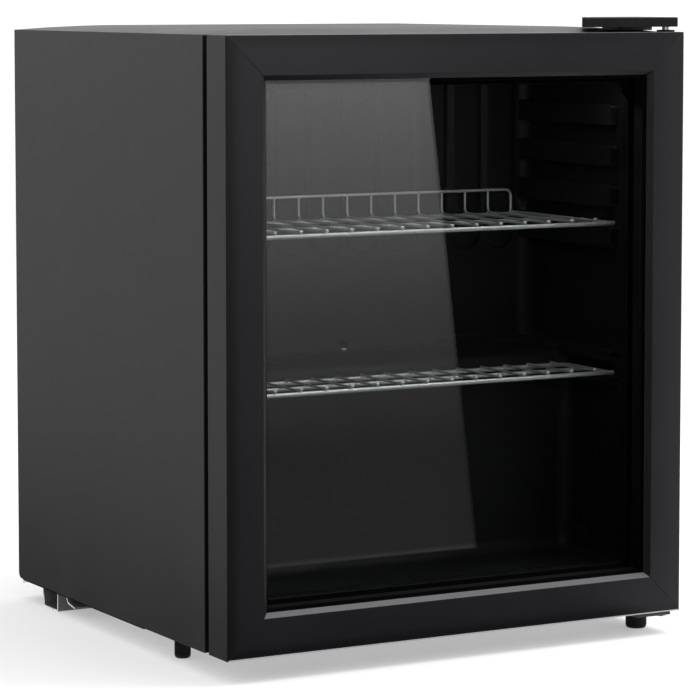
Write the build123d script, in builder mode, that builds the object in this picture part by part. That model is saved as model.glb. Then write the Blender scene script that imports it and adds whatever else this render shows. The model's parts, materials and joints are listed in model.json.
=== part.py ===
# Countertop glass-door merchandiser (compact display cooler), millimetres, +Z up.
# The front with the glass door faces -Y, and the door is hinged at its right (+X) side.
# The origin is the centre of the footprint, on the surface that the cooler stands on.
import os

from build123d import *

os.makedirs("parts", exist_ok=True)

# ---------------------------------------------------------------- driving dimensions
cabinet_width = 430.0
door_height = 490.0
cabinet_depth = 372.0
ground_clearance = 19.5

door_thickness = 32.5
gasket_gap = 7.5
bevel_rise = 2.2
rail_overhang = 7.0

# cabinet skin
shell_sheet = 1.0
front_flange = 20.0
crown_height = 4.5
crown_side_run = 90.0
crown_end_run = 60.0
rear_corner_radius = 6.0

# storage cavity, measured to the liner's inner face
side_wall = 28.0
top_wall = 28.0
floor_wall = 37.0
cavity_depth = 162.0
lower_cavity_depth = 94.0
step_height = 211.0
liner_sheet = 2.0
liner_radius = 12.0
liner_lip_gap = 0.5
rear_foam = 53.0
step_foam = 34.0

# fluted cold wall and its gutter
flute_pitch = 34.7
flute_width = 25.0
flute_height = 2.5
flute_count = 10
flute_foot_z = 300.0
gutter_depth = 5.0
gutter_floor = 1.5
gutter_end_rise = 8.5
drain_hole = 9.0
floor_bead_half = 150.0
floor_bead_set_back = 17.0
floor_bead_width = 1.5
floor_bead_height = 0.8

# shelf guides on the side walls
guide_reach = 9.0
guide_height = 18.0
guide_pitch = 34.5
guide_count = 4
guide_radius = 3.0
guide_start = 16.0
small_guide_height = 8.6
small_guide_gap = 12.9
small_guide_radius = 2.5

# wire shelves
shelf_front_set_back = 20.0
frame_wire = 4.0
front_wire = 3.8
cross_wire = 2.1
wire_pitch = 23.7
wire_pairs = 7
upper_shelf_height = 327.0
lower_shelf_height = 199.0
shelf_clearance = 0.3
shelf_side_gap = 5.0
shelf_back_gap = 4.0
guard_height = 22.0
guard_wire = 2.6

# door frame profile, from its outer edge inwards
frame_width = 35.5
outer_bevel = 12.4
inner_bevel = 4.0
inner_bevel_drop = 3.5
frame_wall = 2.5
glass_cover = 8.5
front_lip_depth = 2.6
pane_thickness = 4.0
pane_gap = 12.2
pane_play = 0.2
spacer_width = 8.0
backing_inset = 10.0
backing_width = 32.0
sealant_width = 3.0
key_play = 0.1
key_leg = 60.0

# door seal
seal_inset = 11.0
seal_width = 14.0
seal_clearance = 0.3
magnet_width = 8.0
magnet_depth = 3.0

# hinges
pin_inset = 8.5
pin_set_back = 14.5
pin_diameter = 6.0
pin_play = 0.05
bush_diameter = 10.0
bush_length = 18.0
bush_flange_diameter = 15.0
bush_flange = 1.6
hinge_plate = 2.5
hinge_pad_rise = 1.0
hinge_arm_rise = 5.5
hinge_plate_width = 38.0
hinge_pad_length = 26.0
cover_height = 8.0
cover_rise = 4.2
cover_wall = 1.2
cover_front_width = 96.0
cover_rear_width = 56.0
cover_set_back = 5.0
cover_depth = 62.0
bracket_width = 34.0
bracket_inset = 4.0
bracket_pad_start = 6.0
bracket_pad_length = 32.0
hinge_play = 0.3

# screws
screw_diameter = 4.0
screw_head_diameter = 8.0
screw_head = 2.2
screw_grip = 6.0

# feet
left_foot_diameter = 13.5
left_foot_inset = 18.0
left_foot_set_back = 76.0
right_foot_diameter = 18.0
right_foot_inset = 18.0
right_foot_set_back = 38.0
foot_stem = 6.0
foot_stem_play = 0.05
foot_socket_diameter = 14.0
foot_socket_height = 12.0
right_foot_height = 12.0
left_foot_height = 15.5

# base and machine bay
base_sheet = 1.5
rail_end_inset = 6.0
rail_channel_front = 72.0
rail_channel_width = 30.0

panel_sheet = 1.0

# refrigeration
plate_half = 160.0
plate_sheet = 1.0
evaporator_tube_size = 5.0
evaporator_runs = 4
feed_hole = 8.0
compressor_diameter = 112.0
compressor_height = 118.0
compressor_x = -40.0
compressor_from_back = 104.0
mount_half_x = 62.0
mount_half_y = 42.0
mount_sheet = 2.5
grommet_height = 10.0
grommet_diameter = 20.0
grommet_neck = 12.0
grommet_cap = 3.0
stud_diameter = 6.0
condenser_from_back = 13.0
condenser_tube = 5.0
condenser_runs = 8
condenser_pitch = 36.0
condenser_half_width = 172.0
condenser_wire = 1.5
condenser_wire_pitch = 9.0
weld_gap = 0.05
tube_size = 5.0
capillary_size = 2.0
drain_tube_size = 12.0
drain_tube_wall = 1.5
drier_length = 80.0
drier_diameter = 16.0
tray_wall = 1.5
tray_depth = 14.0
tray_half_x = 58.0
tray_half_y = 46.0

# controls at the rear
control_from_back = 30.0
control_sheet = 1.5
knob_diameter = 26.0
knob_height = 12.0
knob_shaft = 6.0
knob_gap = 0.4
gland_diameter = 10.0
gland_bore = 7.0

# ---------------------------------------------------------------- derived places
half_width = cabinet_width / 2
total_depth = bevel_rise + door_thickness + gasket_gap + cabinet_depth + rail_overhang
door_front_y = bevel_rise - total_depth / 2
door_back_y = door_front_y + door_thickness
cabinet_front_y = door_back_y + gasket_gap
cabinet_back_y = cabinet_front_y + cabinet_depth
bottom_z = ground_clearance
top_z = bottom_z + door_height

cavity_half = half_width - side_wall
cavity_top = top_z - top_wall
cavity_floor = bottom_z + floor_wall
cavity_back_y = cabinet_front_y + cavity_depth
step_front_y = cabinet_front_y + lower_cavity_depth
step_z = bottom_z + step_height
foam_back_y = cavity_back_y + liner_sheet + rear_foam
bay_front_y = step_front_y + liner_sheet + step_foam
bay_top_z = step_z - liner_sheet - step_foam

door_body_depth = front_lip_depth + 2 * pane_thickness + pane_gap
condenser_y = cabinet_back_y - condenser_from_back
compressor_y = cabinet_back_y - compressor_from_back
line_y = foam_back_y + 20.0
side_line_x = -(half_width - 12.0)

upper_screws = [(half_width - 34.0, cabinet_front_y + 17.0), (half_width - 14.0, cabinet_front_y + 17.0)]
bracket_screw_y = cabinet_front_y + bracket_pad_start + 18.0
lower_screws = [(half_width - 29.0, bracket_screw_y), (half_width - 12.0, bracket_screw_y)]
panel_screws = [
    (side * (half_width - 14.0), bottom_z + height) for side in (-1, 1) for height in (205.0, 330.0, 455.0)
]
base_screws = [(x, bay_front_y + 10.0) for x in (-180.0, -60.0, 60.0, 180.0)]

pin_x = half_width - pin_inset
pin_y = door_front_y + pin_set_back
big = 2000.0


# ---------------------------------------------------------------- shared shapes
def block(low, high, mode=Mode.ADD):
    """A box between two corners, in the part that is being built."""
    size = [b - a for a, b in zip(low, high)]
    middle = [(a + b) / 2 for a, b in zip(low, high)]
    with Locations(Vector(*middle)):
        Box(*size, mode=mode)


def rod(start, end, diameter, mode=Mode.ADD):
    """A round bar from one point to another, in the part that is being built."""
    axis = Vector(*end) - Vector(*start)
    with BuildSketch(Plane(origin=start, z_dir=axis)) as section:
        Circle(diameter / 2)
    extrude(section.sketch, amount=axis.length, mode=mode)


def ring(outer_half, inner_half, outer_z, inner_z, y_low, y_high, radius=0.0):
    """A flat rectangular frame, as a part, between two depths."""
    with BuildPart() as frame_part:
        block((-outer_half, y_low, outer_z[0]), (outer_half, y_high, outer_z[1]))
        with BuildPart(mode=Mode.PRIVATE) as window:
            block((-inner_half, y_low - 1, inner_z[0]), (inner_half, y_high + 1, inner_z[1]))
            if radius > 0:
                fillet(window.edges().filter_by(Axis.Y), radius)
        add(window.part, mode=Mode.SUBTRACT)
    return frame_part.part


def crowned_block(inset):
    """The cabinet's crowned body, drawn in by an inset, as a part."""
    rise = crown_height
    side = half_width - inset
    low = bottom_z
    edge = top_z - inset
    front = cabinet_front_y
    back = cabinet_back_y
    flat_side = half_width - crown_side_run
    mid_rise = 0.75 * rise
    with BuildPart() as body:
        with BuildSketch(Plane.XZ):
            with BuildLine():
                Line((-side, edge), (-side, low))
                Line((-side, low), (side, low))
                Line((side, low), (side, edge))
                mid_side = (side + flat_side) / 2
                ThreePointArc((side, edge), (mid_side, edge + mid_rise), (flat_side, edge + rise))
                Line((flat_side, edge + rise), (-flat_side, edge + rise))
                ThreePointArc((-flat_side, edge + rise), (-mid_side, edge + mid_rise), (-side, edge))
            make_face()
        extrude(amount=big, both=True)
        with BuildSketch(Plane.YZ):
            with BuildLine():
                flat_front = front + crown_end_run
                flat_back = back - crown_end_run
                mid_front = (front + flat_front) / 2
                mid_back = (back + flat_back) / 2
                Line((front, edge), (front, low))
                Line((front, low), (back, low))
                Line((back, low), (back, edge))
                ThreePointArc((back, edge), (mid_back, edge + mid_rise), (flat_back, edge + rise))
                Line((flat_back, edge + rise), (flat_front, edge + rise))
                ThreePointArc((flat_front, edge + rise), (mid_front, edge + mid_rise), (front, edge))
            make_face()
        extrude(amount=big, both=True, mode=Mode.INTERSECT)
        seat_z = top_z + hinge_pad_rise - inset
        seat_x = half_width - hinge_plate_width - 8 + inset
        seat_y = front + hinge_pad_length + 6 - inset
        block((seat_x, front - 1, seat_z), (half_width + 1, seat_y, top_z + rise + 5), mode=Mode.SUBTRACT)
    return body.part


def cavity_block(grow):
    """The storage cavity with its step, enlarged on every side, as a part."""
    with BuildPart() as void:
        with BuildSketch(Plane.YZ):
            with BuildLine():
                Polyline(
                    (cabinet_front_y - 10, cavity_floor - grow),
                    (step_front_y + grow, cavity_floor - grow),
                    (step_front_y + grow, step_z - grow),
                    (cavity_back_y + grow, step_z - grow),
                    (cavity_back_y + grow, cavity_top + grow),
                    (cabinet_front_y - 10, cavity_top + grow),
                    close=True,
                )
            make_face()
        extrude(amount=cavity_half + grow, both=True)
        rounded = void.edges().filter_by_position(Axis.Y, cabinet_front_y - 9, big)
        fillet(rounded, liner_radius + grow)
    return void.part


def side_bar(points, low, high):
    """A bar with a section drawn in Y and Z, running along X, as a part."""
    with BuildPart() as bar:
        with BuildSketch(Plane.YZ.offset(low)):
            with BuildLine():
                Polyline(*points, close=True)
            make_face()
        extrude(amount=high - low)
    return bar.part


def upright_bar(points, low, high):
    """A bar with a section drawn in X and Y, running along Z, as a part."""
    with BuildPart() as bar:
        with BuildSketch(Plane.XY.offset(low)):
            with BuildLine():
                Polyline(*points, close=True)
            make_face()
        extrude(amount=high - low)
    return bar.part


def tube(points, bend, diameter):
    """A solid round tube along straight runs with bends, as a part."""
    with BuildPart() as pipe:
        with BuildLine() as path:
            FilletPolyline(*points, radius=bend)
        with BuildSketch(Plane(path.line @ 0, z_dir=path.line % 0)):
            Circle(diameter / 2)
        sweep()
    return pipe.part


def serpentine(half, low_z, pitch, runs, y):
    """Points of a tube that runs to and fro across the cabinet."""
    points = []
    for n in range(runs):
        ends = (-1, 1) if n % 2 == 0 else (1, -1)
        points += [(side * (half + pitch / 2), y, low_z + n * pitch) for side in ends]
    return points


def screws(places, start, direction, grip):
    """Pan-head screws whose heads sit on a surface, as a part of separate solids."""
    with BuildPart() as group:
        for place in places:
            seat = start(place)
            head = Vector(*seat) - Vector(*direction) * screw_head
            tip = Vector(*seat) + Vector(*direction) * grip
            rod(tuple(head), seat, screw_head_diameter)
            rod(seat, tuple(tip), screw_diameter)
    return group.part


def save(part, name):
    """Label a finished piece and write it."""
    part.label = name
    export_step(part, f"parts/{name}.step")


# ---------------------------------------------------------------- cabinet skin
outer_body = crowned_block(0.0)
inner_body = crowned_block(shell_sheet)

with BuildPart() as outer_shell:
    add(outer_body)
    add(inner_body, mode=Mode.SUBTRACT)
    inner_side = half_width - shell_sheet
    block(
        (-inner_side, cabinet_front_y - 1, bottom_z - 1),
        (inner_side, cabinet_back_y + 1, top_z - 9),
        Mode.SUBTRACT,
    )
    with BuildPart(mode=Mode.PRIVATE) as face_frame:
        add(outer_body)
        block((-big, cabinet_front_y + shell_sheet, -big), (big, big, big), Mode.SUBTRACT)
        window_half = half_width - front_flange
        block(
            (-window_half, cabinet_front_y - 1, bottom_z + front_flange),
            (window_half, cabinet_front_y + 2, top_z - front_flange),
            Mode.SUBTRACT,
        )
    add(face_frame.part)
    lower_rear = (
        outer_shell.edges()
        .filter_by(Axis.X)
        .filter_by_position(Axis.Z, bottom_z - 0.1, bottom_z + 0.1)
        .filter_by_position(Axis.Y, cabinet_back_y - 0.1, cabinet_back_y + 0.1)
    )
    fillet(lower_rear, rear_corner_radius)
    for x, y in upper_screws:
        rod((x, y, top_z - 5), (x, y, top_z + 5), screw_diameter, Mode.SUBTRACT)
save(outer_shell.part, "outer_shell")

# ---------------------------------------------------------------- inner liner
first_guide_top = bottom_z + upper_shelf_height - frame_wire / 2 - shelf_clearance
upper_guide_tops = [first_guide_top + guide_pitch * n for n in range(guide_count)]
lower_guide_top = bottom_z + lower_shelf_height - frame_wire / 2 - shelf_clearance
guide_front_y = cabinet_front_y + guide_start
lip_half = half_width - front_flange - liner_lip_gap
lip_low = bottom_z + front_flange + liner_lip_gap
lip_high = top_z - front_flange - liner_lip_gap
gutter_low_z = step_z + gutter_floor
drain_z = gutter_low_z + drain_hole / 2 + 1.5

# flutes, gutter ledge and shelf guides, trimmed to the cavity's round corners
liner_bite = 0.5
with BuildPart() as liner_features:
    # raised flutes on the cold rear wall
    with BuildSketch(Plane.XZ.offset(-(cavity_back_y + liner_bite))):
        first = -(flute_count - 1) / 2 * flute_pitch
        top = cavity_top - liner_radius
        low = bottom_z + flute_foot_z
        for n in range(flute_count):
            x = first + n * flute_pitch
            with Locations((x, (low + flute_width / 2 + top) / 2)):
                Rectangle(flute_width, top - low - flute_width / 2)
            with Locations((x, low + flute_width / 2)):
                Circle(flute_width / 2)
    extrude(amount=flute_height + liner_bite)
    # gutter ledge that falls to the middle of the rear wall
    with BuildSketch(Plane.XZ.offset(-(cavity_back_y + liner_bite))):
        with BuildLine():
            Polyline(
                (-half_width, step_z - liner_bite),
                (half_width, step_z - liner_bite),
                (half_width, gutter_low_z + gutter_end_rise),
                (0, gutter_low_z),
                (-half_width, gutter_low_z + gutter_end_rise),
                close=True,
            )
        make_face()
    extrude(amount=gutter_depth + liner_bite)
    # shelf guides, one set for each side wall
    for side in (-1, 1):
        inner_x = side * (cavity_half - guide_reach)
        outer_x = side * (cavity_half + liner_bite)
        x_low = min(inner_x, outer_x)
        x_high = max(inner_x, outer_x)
        for guide_top in upper_guide_tops:
            with BuildPart(mode=Mode.PRIVATE) as guide:
                guide_low = guide_top - guide_height
                block((x_low, guide_front_y, guide_low), (x_high, cavity_back_y + liner_bite, guide_top))
                fillet(guide.edges().filter_by(Axis.X).sort_by(Axis.Y)[:2], guide_radius)
            add(guide.part)
        for guide_low in (lower_guide_top - small_guide_height, lower_guide_top + small_guide_gap):
            with BuildPart(mode=Mode.PRIVATE) as small_guide:
                high = guide_low + small_guide_height
                block((x_low, guide_front_y, guide_low), (x_high, step_front_y + liner_bite, high))
                fillet(small_guide.edges().filter_by(Axis.X).sort_by(Axis.Y)[:2], small_guide_radius)
            add(small_guide.part)
    add(cavity_block(liner_bite), mode=Mode.INTERSECT)

with BuildPart() as inner_liner:
    add(cavity_block(liner_sheet))
    block((-big, -big, -big), (big, cabinet_front_y, big), Mode.SUBTRACT)
    block((-lip_half, cabinet_front_y, lip_low), (lip_half, cabinet_front_y + liner_sheet, lip_high))
    add(cavity_block(0.0), mode=Mode.SUBTRACT)
    add(liner_features.part)
    # stiffening bead across the floor
    bead_front_y = cabinet_front_y + floor_bead_set_back
    block(
        (-floor_bead_half, bead_front_y, cavity_floor - liner_bite),
        (floor_bead_half, bead_front_y + floor_bead_width, cavity_floor + floor_bead_height),
    )
    # drain hole above the gutter's low point
    rod((0, cavity_back_y - 10, drain_z), (0, cavity_back_y + 10, drain_z), drain_hole, Mode.SUBTRACT)
save(inner_liner.part, "inner_liner")

# ---------------------------------------------------------------- cold plate and tube behind the liner
plate_low_z = bottom_z + flute_foot_z
plate_high_z = cavity_top - 20.0
pocket_depth = plate_sheet + evaporator_tube_size + 1.0
plate_y = cavity_back_y + liner_sheet

with BuildPart() as evaporator_plate:
    block((-plate_half, plate_y, plate_low_z), (plate_half, plate_y + plate_sheet, plate_high_z))
save(evaporator_plate.part, "evaporator_plate")

tube_y = plate_y + plate_sheet + evaporator_tube_size / 2 + weld_gap
run_gap = (plate_high_z - plate_low_z - 30.0) / (evaporator_runs - 1)
tube_half = plate_half - 20.0 - run_gap / 2
evaporator_low_z = plate_low_z + 15.0
evaporator_high_z = evaporator_low_z + (evaporator_runs - 1) * run_gap
evaporator_end_x = -(tube_half + run_gap / 2)
feed_x = evaporator_end_x - 10.0
evaporator_points = serpentine(tube_half, evaporator_low_z, run_gap, evaporator_runs, tube_y)
evaporator_tube = tube(evaporator_points, run_gap / 2 - 0.5, evaporator_tube_size)
save(evaporator_tube, "evaporator_tube")

# ---------------------------------------------------------------- foam, rear panel and floor of the cabinet
foam_bottom_z = bottom_z + panel_sheet
foam_section = [
    (cabinet_front_y + shell_sheet, foam_bottom_z),
    (bay_front_y, foam_bottom_z),
    (bay_front_y, bay_top_z),
    (foam_back_y, bay_top_z),
    (foam_back_y, top_z + 20),
    (cabinet_front_y + shell_sheet, top_z + 20),
]
left_foot_x = -half_width + left_foot_inset
left_foot_y = cabinet_front_y + left_foot_set_back
right_foot_x = half_width - right_foot_inset
right_foot_y = door_front_y + right_foot_set_back

with BuildPart() as foam_insulation:
    add(side_bar(foam_section, -half_width + shell_sheet, half_width - shell_sheet))
    add(inner_body, mode=Mode.INTERSECT)
    add(cavity_block(liner_sheet), mode=Mode.SUBTRACT)
    block(
        (-lip_half, cabinet_front_y - 1, lip_low),
        (lip_half, cabinet_front_y + liner_sheet, lip_high),
        Mode.SUBTRACT,
    )
    block(
        (-plate_half, plate_y, plate_low_z),
        (plate_half, plate_y + pocket_depth, plate_high_z),
        Mode.SUBTRACT,
    )
    rod((0, cavity_back_y, drain_z), (0, foam_back_y + 5, drain_z), drain_tube_size, Mode.SUBTRACT)
    rod(
        (left_foot_x, left_foot_y, bottom_z),
        (left_foot_x, left_foot_y, bottom_z + foot_socket_height + panel_sheet + 1),
        foot_socket_diameter,
        Mode.SUBTRACT,
    )
    for z in (evaporator_low_z, evaporator_high_z):
        rod((feed_x, tube_y, z), (feed_x, foam_back_y + 5, z), feed_hole, Mode.SUBTRACT)
    for x, y in upper_screws:
        rod((x, y, top_z - 10), (x, y, top_z + 5), screw_diameter, Mode.SUBTRACT)
    for x, y in lower_screws:
        rod((x, y, bottom_z), (x, y, bottom_z + 10), screw_diameter, Mode.SUBTRACT)
    for x, z in panel_screws:
        rod((x, foam_back_y - 10, z), (x, foam_back_y + 5, z), screw_diameter, Mode.SUBTRACT)
save(foam_insulation.part, "foam_insulation")

rear_section = [
    (bay_front_y, foam_bottom_z),
    (bay_front_y + panel_sheet, foam_bottom_z),
    (bay_front_y + panel_sheet, bay_top_z - panel_sheet),
    (foam_back_y + panel_sheet, bay_top_z - panel_sheet),
    (foam_back_y + panel_sheet, top_z + 20),
    (foam_back_y, top_z + 20),
    (foam_back_y, bay_top_z),
    (bay_front_y, bay_top_z),
]
with BuildPart() as rear_panel:
    add(side_bar(rear_section, -half_width + shell_sheet, half_width - shell_sheet))
    add(inner_body, mode=Mode.INTERSECT)
    rod((0, foam_back_y - 5, drain_z), (0, foam_back_y + 5, drain_z), drain_tube_size, Mode.SUBTRACT)
    for z in (evaporator_low_z, evaporator_high_z):
        rod((feed_x, foam_back_y - 5, z), (feed_x, foam_back_y + 5, z), feed_hole, Mode.SUBTRACT)
    for x, z in panel_screws:
        rod((x, foam_back_y - 5, z), (x, foam_back_y + 5, z), screw_diameter, Mode.SUBTRACT)
save(rear_panel.part, "rear_panel")

floor_back_y = bay_front_y + 20.0
with BuildPart() as bottom_panel:
    block(
        (-half_width + shell_sheet, cabinet_front_y + shell_sheet, bottom_z),
        (half_width - shell_sheet, floor_back_y, bottom_z + panel_sheet),
    )
    with Locations((left_foot_x, left_foot_y, bottom_z)):
        Hole(foot_stem / 2 + 1.0)
    for x, y in lower_screws + base_screws:
        with Locations((x, y, bottom_z)):
            Hole(screw_diameter / 2)
save(bottom_panel.part, "bottom_panel")

# ---------------------------------------------------------------- base plate and rear rail
base_front_y = bay_front_y - 15.0
base_top_z = bottom_z
base_back_y = cabinet_back_y - 6.0
base_half = half_width - rail_end_inset
channel_front_y = cabinet_back_y - rail_channel_front
channel_back_y = channel_front_y + rail_channel_width
rail_mid = base_sheet / 2
rail_top_z = base_top_z - base_sheet
rail_foot_z = rail_mid

with BuildPart() as base_plate:
    block((-base_half, base_front_y, rail_top_z), (base_half, base_back_y, base_top_z))
    for x, y in base_screws:
        with Locations((x, y, rail_top_z)):
            Hole(screw_diameter / 2)
save(base_plate.part, "base_plate")

with BuildPart() as rear_rail:
    with BuildSketch(Plane.YZ.offset(-base_half)):
        with BuildLine():
            flange_z = rail_top_z - rail_mid
            FilletPolyline(
                (channel_front_y - 36.0, flange_z - 8.0),
                (channel_front_y - 22.0, flange_z - 5.5),
                (channel_front_y - 18.0, flange_z),
                (channel_front_y, flange_z),
                (channel_front_y + 0.5, rail_foot_z),
                (channel_back_y - 1.0, rail_foot_z),
                (channel_back_y + 2.0, flange_z),
                (cabinet_back_y - 8.0, flange_z),
                (cabinet_back_y + rail_overhang - 0.2, flange_z - 3.5),
                radius=1.6,
            )
        trace(line_width=base_sheet)
    extrude(amount=2 * base_half)
save(rear_rail.part, "rear_rail")

# ---------------------------------------------------------------- compressor
mount_z = base_top_z + grommet_height
body_low_z = mount_z + mount_sheet
body_high_z = body_low_z + compressor_height
body_radius = compressor_diameter / 2
mount_corners = [(-1, -1), (-1, 1), (1, -1), (1, 1)]
mount_places = [(compressor_x + a * mount_half_x, compressor_y + b * mount_half_y) for a, b in mount_corners]

with BuildPart() as compressor:
    with BuildSketch(Plane.XZ.offset(-compressor_y)):
        with BuildLine():
            shoulder = 0.45 * body_radius
            belt = body_low_z + 0.42 * compressor_height
            low_shoulder = body_low_z + 22.0
            high_shoulder = body_high_z - 34.0
            Line((compressor_x, body_low_z), (compressor_x + shoulder, body_low_z))
            SagittaArc(
                (compressor_x + shoulder, body_low_z), (compressor_x + body_radius - 2, low_shoulder), -6.0
            )
            Line((compressor_x + body_radius - 2, low_shoulder), (compressor_x + body_radius - 2, belt - 3))
            Line((compressor_x + body_radius - 2, belt - 3), (compressor_x + body_radius, belt - 3))
            Line((compressor_x + body_radius, belt - 3), (compressor_x + body_radius, belt + 3))
            Line((compressor_x + body_radius, belt + 3), (compressor_x + body_radius - 3, belt + 3))
            Line((compressor_x + body_radius - 3, belt + 3), (compressor_x + body_radius - 3, high_shoulder))
            SagittaArc(
                (compressor_x + body_radius - 3, high_shoulder), (compressor_x + 18.0, body_high_z), -9.0
            )
            Line((compressor_x + 18.0, body_high_z), (compressor_x, body_high_z))
            Line((compressor_x, body_high_z), (compressor_x, body_low_z))
        make_face()
    revolve(axis=Axis((compressor_x, compressor_y, 0), (0, 0, 1)))
save(compressor.part, "compressor")

with BuildPart() as compressor_foot_plate:
    with BuildSketch(Plane.XY.offset(mount_z)):
        with Locations((compressor_x, compressor_y)):
            RectangleRounded(2 * mount_half_x + 26, 2 * mount_half_y + 26, 13.0)
        with Locations(*mount_places):
            Circle(grommet_neck / 2, mode=Mode.SUBTRACT)
    extrude(amount=mount_sheet)
save(compressor_foot_plate.part, "compressor_foot_plate")

with BuildPart() as compressor_grommets:
    for x, y in mount_places:
        rod((x, y, base_top_z), (x, y, mount_z), grommet_diameter)
        rod((x, y, mount_z), (x, y, body_low_z), grommet_neck)
        rod((x, y, body_low_z), (x, y, body_low_z + grommet_cap), grommet_neck + 4)
        rod((x, y, base_top_z), (x, y, body_low_z + grommet_cap), stud_diameter, Mode.SUBTRACT)
save(compressor_grommets.part, "compressor_grommets")

with BuildPart() as compressor_studs:
    for x, y in mount_places:
        nut_z = body_low_z + grommet_cap
        rod((x, y, base_top_z), (x, y, nut_z + 8), stud_diameter)
        with BuildSketch(Plane.XY.offset(nut_z)):
            with Locations((x, y)):
                RegularPolygon(5.5, 6)
        extrude(amount=5.0)
save(compressor_studs.part, "compressor_studs")

with BuildPart() as relay_cover:
    relay_x = compressor_x + body_radius - 8
    block((relay_x, compressor_y - 24, body_low_z + 20), (relay_x + 34, compressor_y + 24, body_low_z + 74))
    fillet(relay_cover.edges().filter_by(Axis.Z).sort_by(Axis.X)[-2:], 5.0)
    add(compressor.part, mode=Mode.SUBTRACT)
save(relay_cover.part, "relay_cover")

# ---------------------------------------------------------------- condenser and its lines
condenser_low_z = bottom_z + 190.0
condenser_high_z = condenser_low_z + (condenser_runs - 1) * condenser_pitch
condenser_reach = condenser_half_width + condenser_pitch / 2
condenser_points = serpentine(
    condenser_half_width, condenser_low_z, condenser_pitch, condenser_runs, condenser_y
)
condenser_coil = tube(condenser_points, condenser_pitch / 2 - 0.5, condenser_tube)
save(condenser_coil, "condenser_coil")

with BuildPart() as condenser_wires:
    wire_offset = condenser_tube / 2 + condenser_wire / 2 + weld_gap
    wire_steps = int(2 * (condenser_half_width - 8) / condenser_wire_pitch)
    first_x = -wire_steps / 2 * condenser_wire_pitch
    for n in range(wire_steps + 1):
        for side in (-1, 1):
            x = first_x + n * condenser_wire_pitch
            y = condenser_y + side * wire_offset
            rod((x, y, condenser_low_z - 9), (x, y, condenser_high_z + 9), condenser_wire)
save(condenser_wires.part, "condenser_wires")

with BuildPart() as condenser_brackets:
    bend_x = condenser_reach + condenser_tube / 2
    wall_x = half_width - shell_sheet
    right_bends = [condenser_low_z + condenser_pitch / 2, condenser_high_z - condenser_pitch / 2]
    left_bends = [z + condenser_pitch * shift for z, shift in zip(right_bends, (1, -1))]
    for side, bends in ((1, right_bends), (-1, left_bends)):
        for z in bends:
            near = min(side * bend_x, side * wall_x)
            far = max(side * bend_x, side * wall_x)
            block((near, condenser_y - 4, z - 8), (far, condenser_y + 4, z + 8))
            tab = side * (wall_x - 1.5)
            block(
                (min(tab, side * wall_x), condenser_y - 24, z - 8),
                (max(tab, side * wall_x), condenser_y + 4, z + 8),
            )
save(condenser_brackets.part, "condenser_brackets")

drier_high_z = condenser_low_z - 25.0
drier_low_z = drier_high_z - drier_length
condenser_outlet = tube(
    [
        (-condenser_reach, condenser_y, condenser_low_z),
        (side_line_x, condenser_y, condenser_low_z),
        (side_line_x, condenser_y, drier_high_z),
    ],
    8.0,
    tube_size,
)
save(condenser_outlet, "condenser_outlet")

with BuildPart() as filter_drier:
    with BuildSketch(Plane.XZ.offset(-condenser_y)):
        with BuildLine():
            Polyline(
                (side_line_x, drier_low_z),
                (side_line_x + 1.8, drier_low_z),
                (side_line_x + drier_diameter / 2, drier_low_z + 14),
                (side_line_x + drier_diameter / 2, drier_high_z - 14),
                (side_line_x + 2.5, drier_high_z),
                (side_line_x, drier_high_z),
                close=True,
            )
        make_face()
    revolve(axis=Axis((side_line_x, condenser_y, 0), (0, 0, 1)))
save(filter_drier.part, "filter_drier")

capillary_y = line_y - 9.0
capillary_z = base_top_z + 55.0
capillary_tube = tube(
    [
        (evaporator_end_x, tube_y, evaporator_low_z),
        (feed_x, tube_y, evaporator_low_z),
        (feed_x, capillary_y, evaporator_low_z),
        (side_line_x + 14, capillary_y, evaporator_low_z),
        (side_line_x + 14, capillary_y, capillary_z),
        (side_line_x, condenser_y, capillary_z),
        (side_line_x, condenser_y, drier_low_z),
    ],
    3.0,
    capillary_size,
)
save(capillary_tube, "capillary_tube")

line_contact = body_radius - 3.5
suction_z = body_high_z - 50.0
suction_line = tube(
    [
        (evaporator_end_x, tube_y, evaporator_high_z),
        (feed_x, tube_y, evaporator_high_z),
        (feed_x, line_y, evaporator_high_z),
        (feed_x, line_y, suction_z),
        (feed_x, compressor_y - 12, suction_z),
        (compressor_x - line_contact * 0.976, compressor_y - 12, suction_z),
    ],
    4.5,
    tube_size,
)
discharge_z = body_low_z + 72.0
discharge_y = compressor_y + 14
discharge_line = tube(
    [
        (compressor_x - line_contact * 0.968, discharge_y, discharge_z),
        (side_line_x, discharge_y, discharge_z),
        (side_line_x, discharge_y, condenser_high_z),
        (side_line_x, condenser_y, condenser_high_z),
        (-condenser_reach, condenser_y, condenser_high_z),
    ],
    8.0,
    tube_size,
)
for line, name in ((suction_line, "suction_line"), (discharge_line, "discharge_line")):
    with BuildPart() as trimmed:
        add(line)
        add(compressor.part, mode=Mode.SUBTRACT)
    save(trimmed.part, name)

# ---------------------------------------------------------------- drain
tray_low_z = body_high_z
with BuildPart() as drip_tray:
    block(
        (compressor_x - tray_half_x, compressor_y - tray_half_y, tray_low_z),
        (compressor_x + tray_half_x, compressor_y + tray_half_y, tray_low_z + tray_depth),
    )
    fillet(drip_tray.edges().filter_by(Axis.Z), 8.0)
    offset(amount=-tray_wall, openings=drip_tray.faces().sort_by(Axis.Z)[-1])
save(drip_tray.part, "drip_tray")

drain_drop_y = foam_back_y + 16.0
drain_end_z = tray_low_z + 5.0
with BuildPart() as drain_tube:
    with BuildLine() as drain_path:
        FilletPolyline(
            (0, cavity_back_y + liner_sheet, drain_z),
            (0, drain_drop_y, drain_z),
            (0, drain_drop_y, drain_end_z),
            radius=10.0,
        )
    with BuildSketch(Plane(drain_path.line @ 0, z_dir=drain_path.line % 0)):
        Circle(drain_tube_size / 2)
        Circle(drain_tube_size / 2 - drain_tube_wall, mode=Mode.SUBTRACT)
    sweep()
save(drain_tube.part, "drain_tube")

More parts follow.
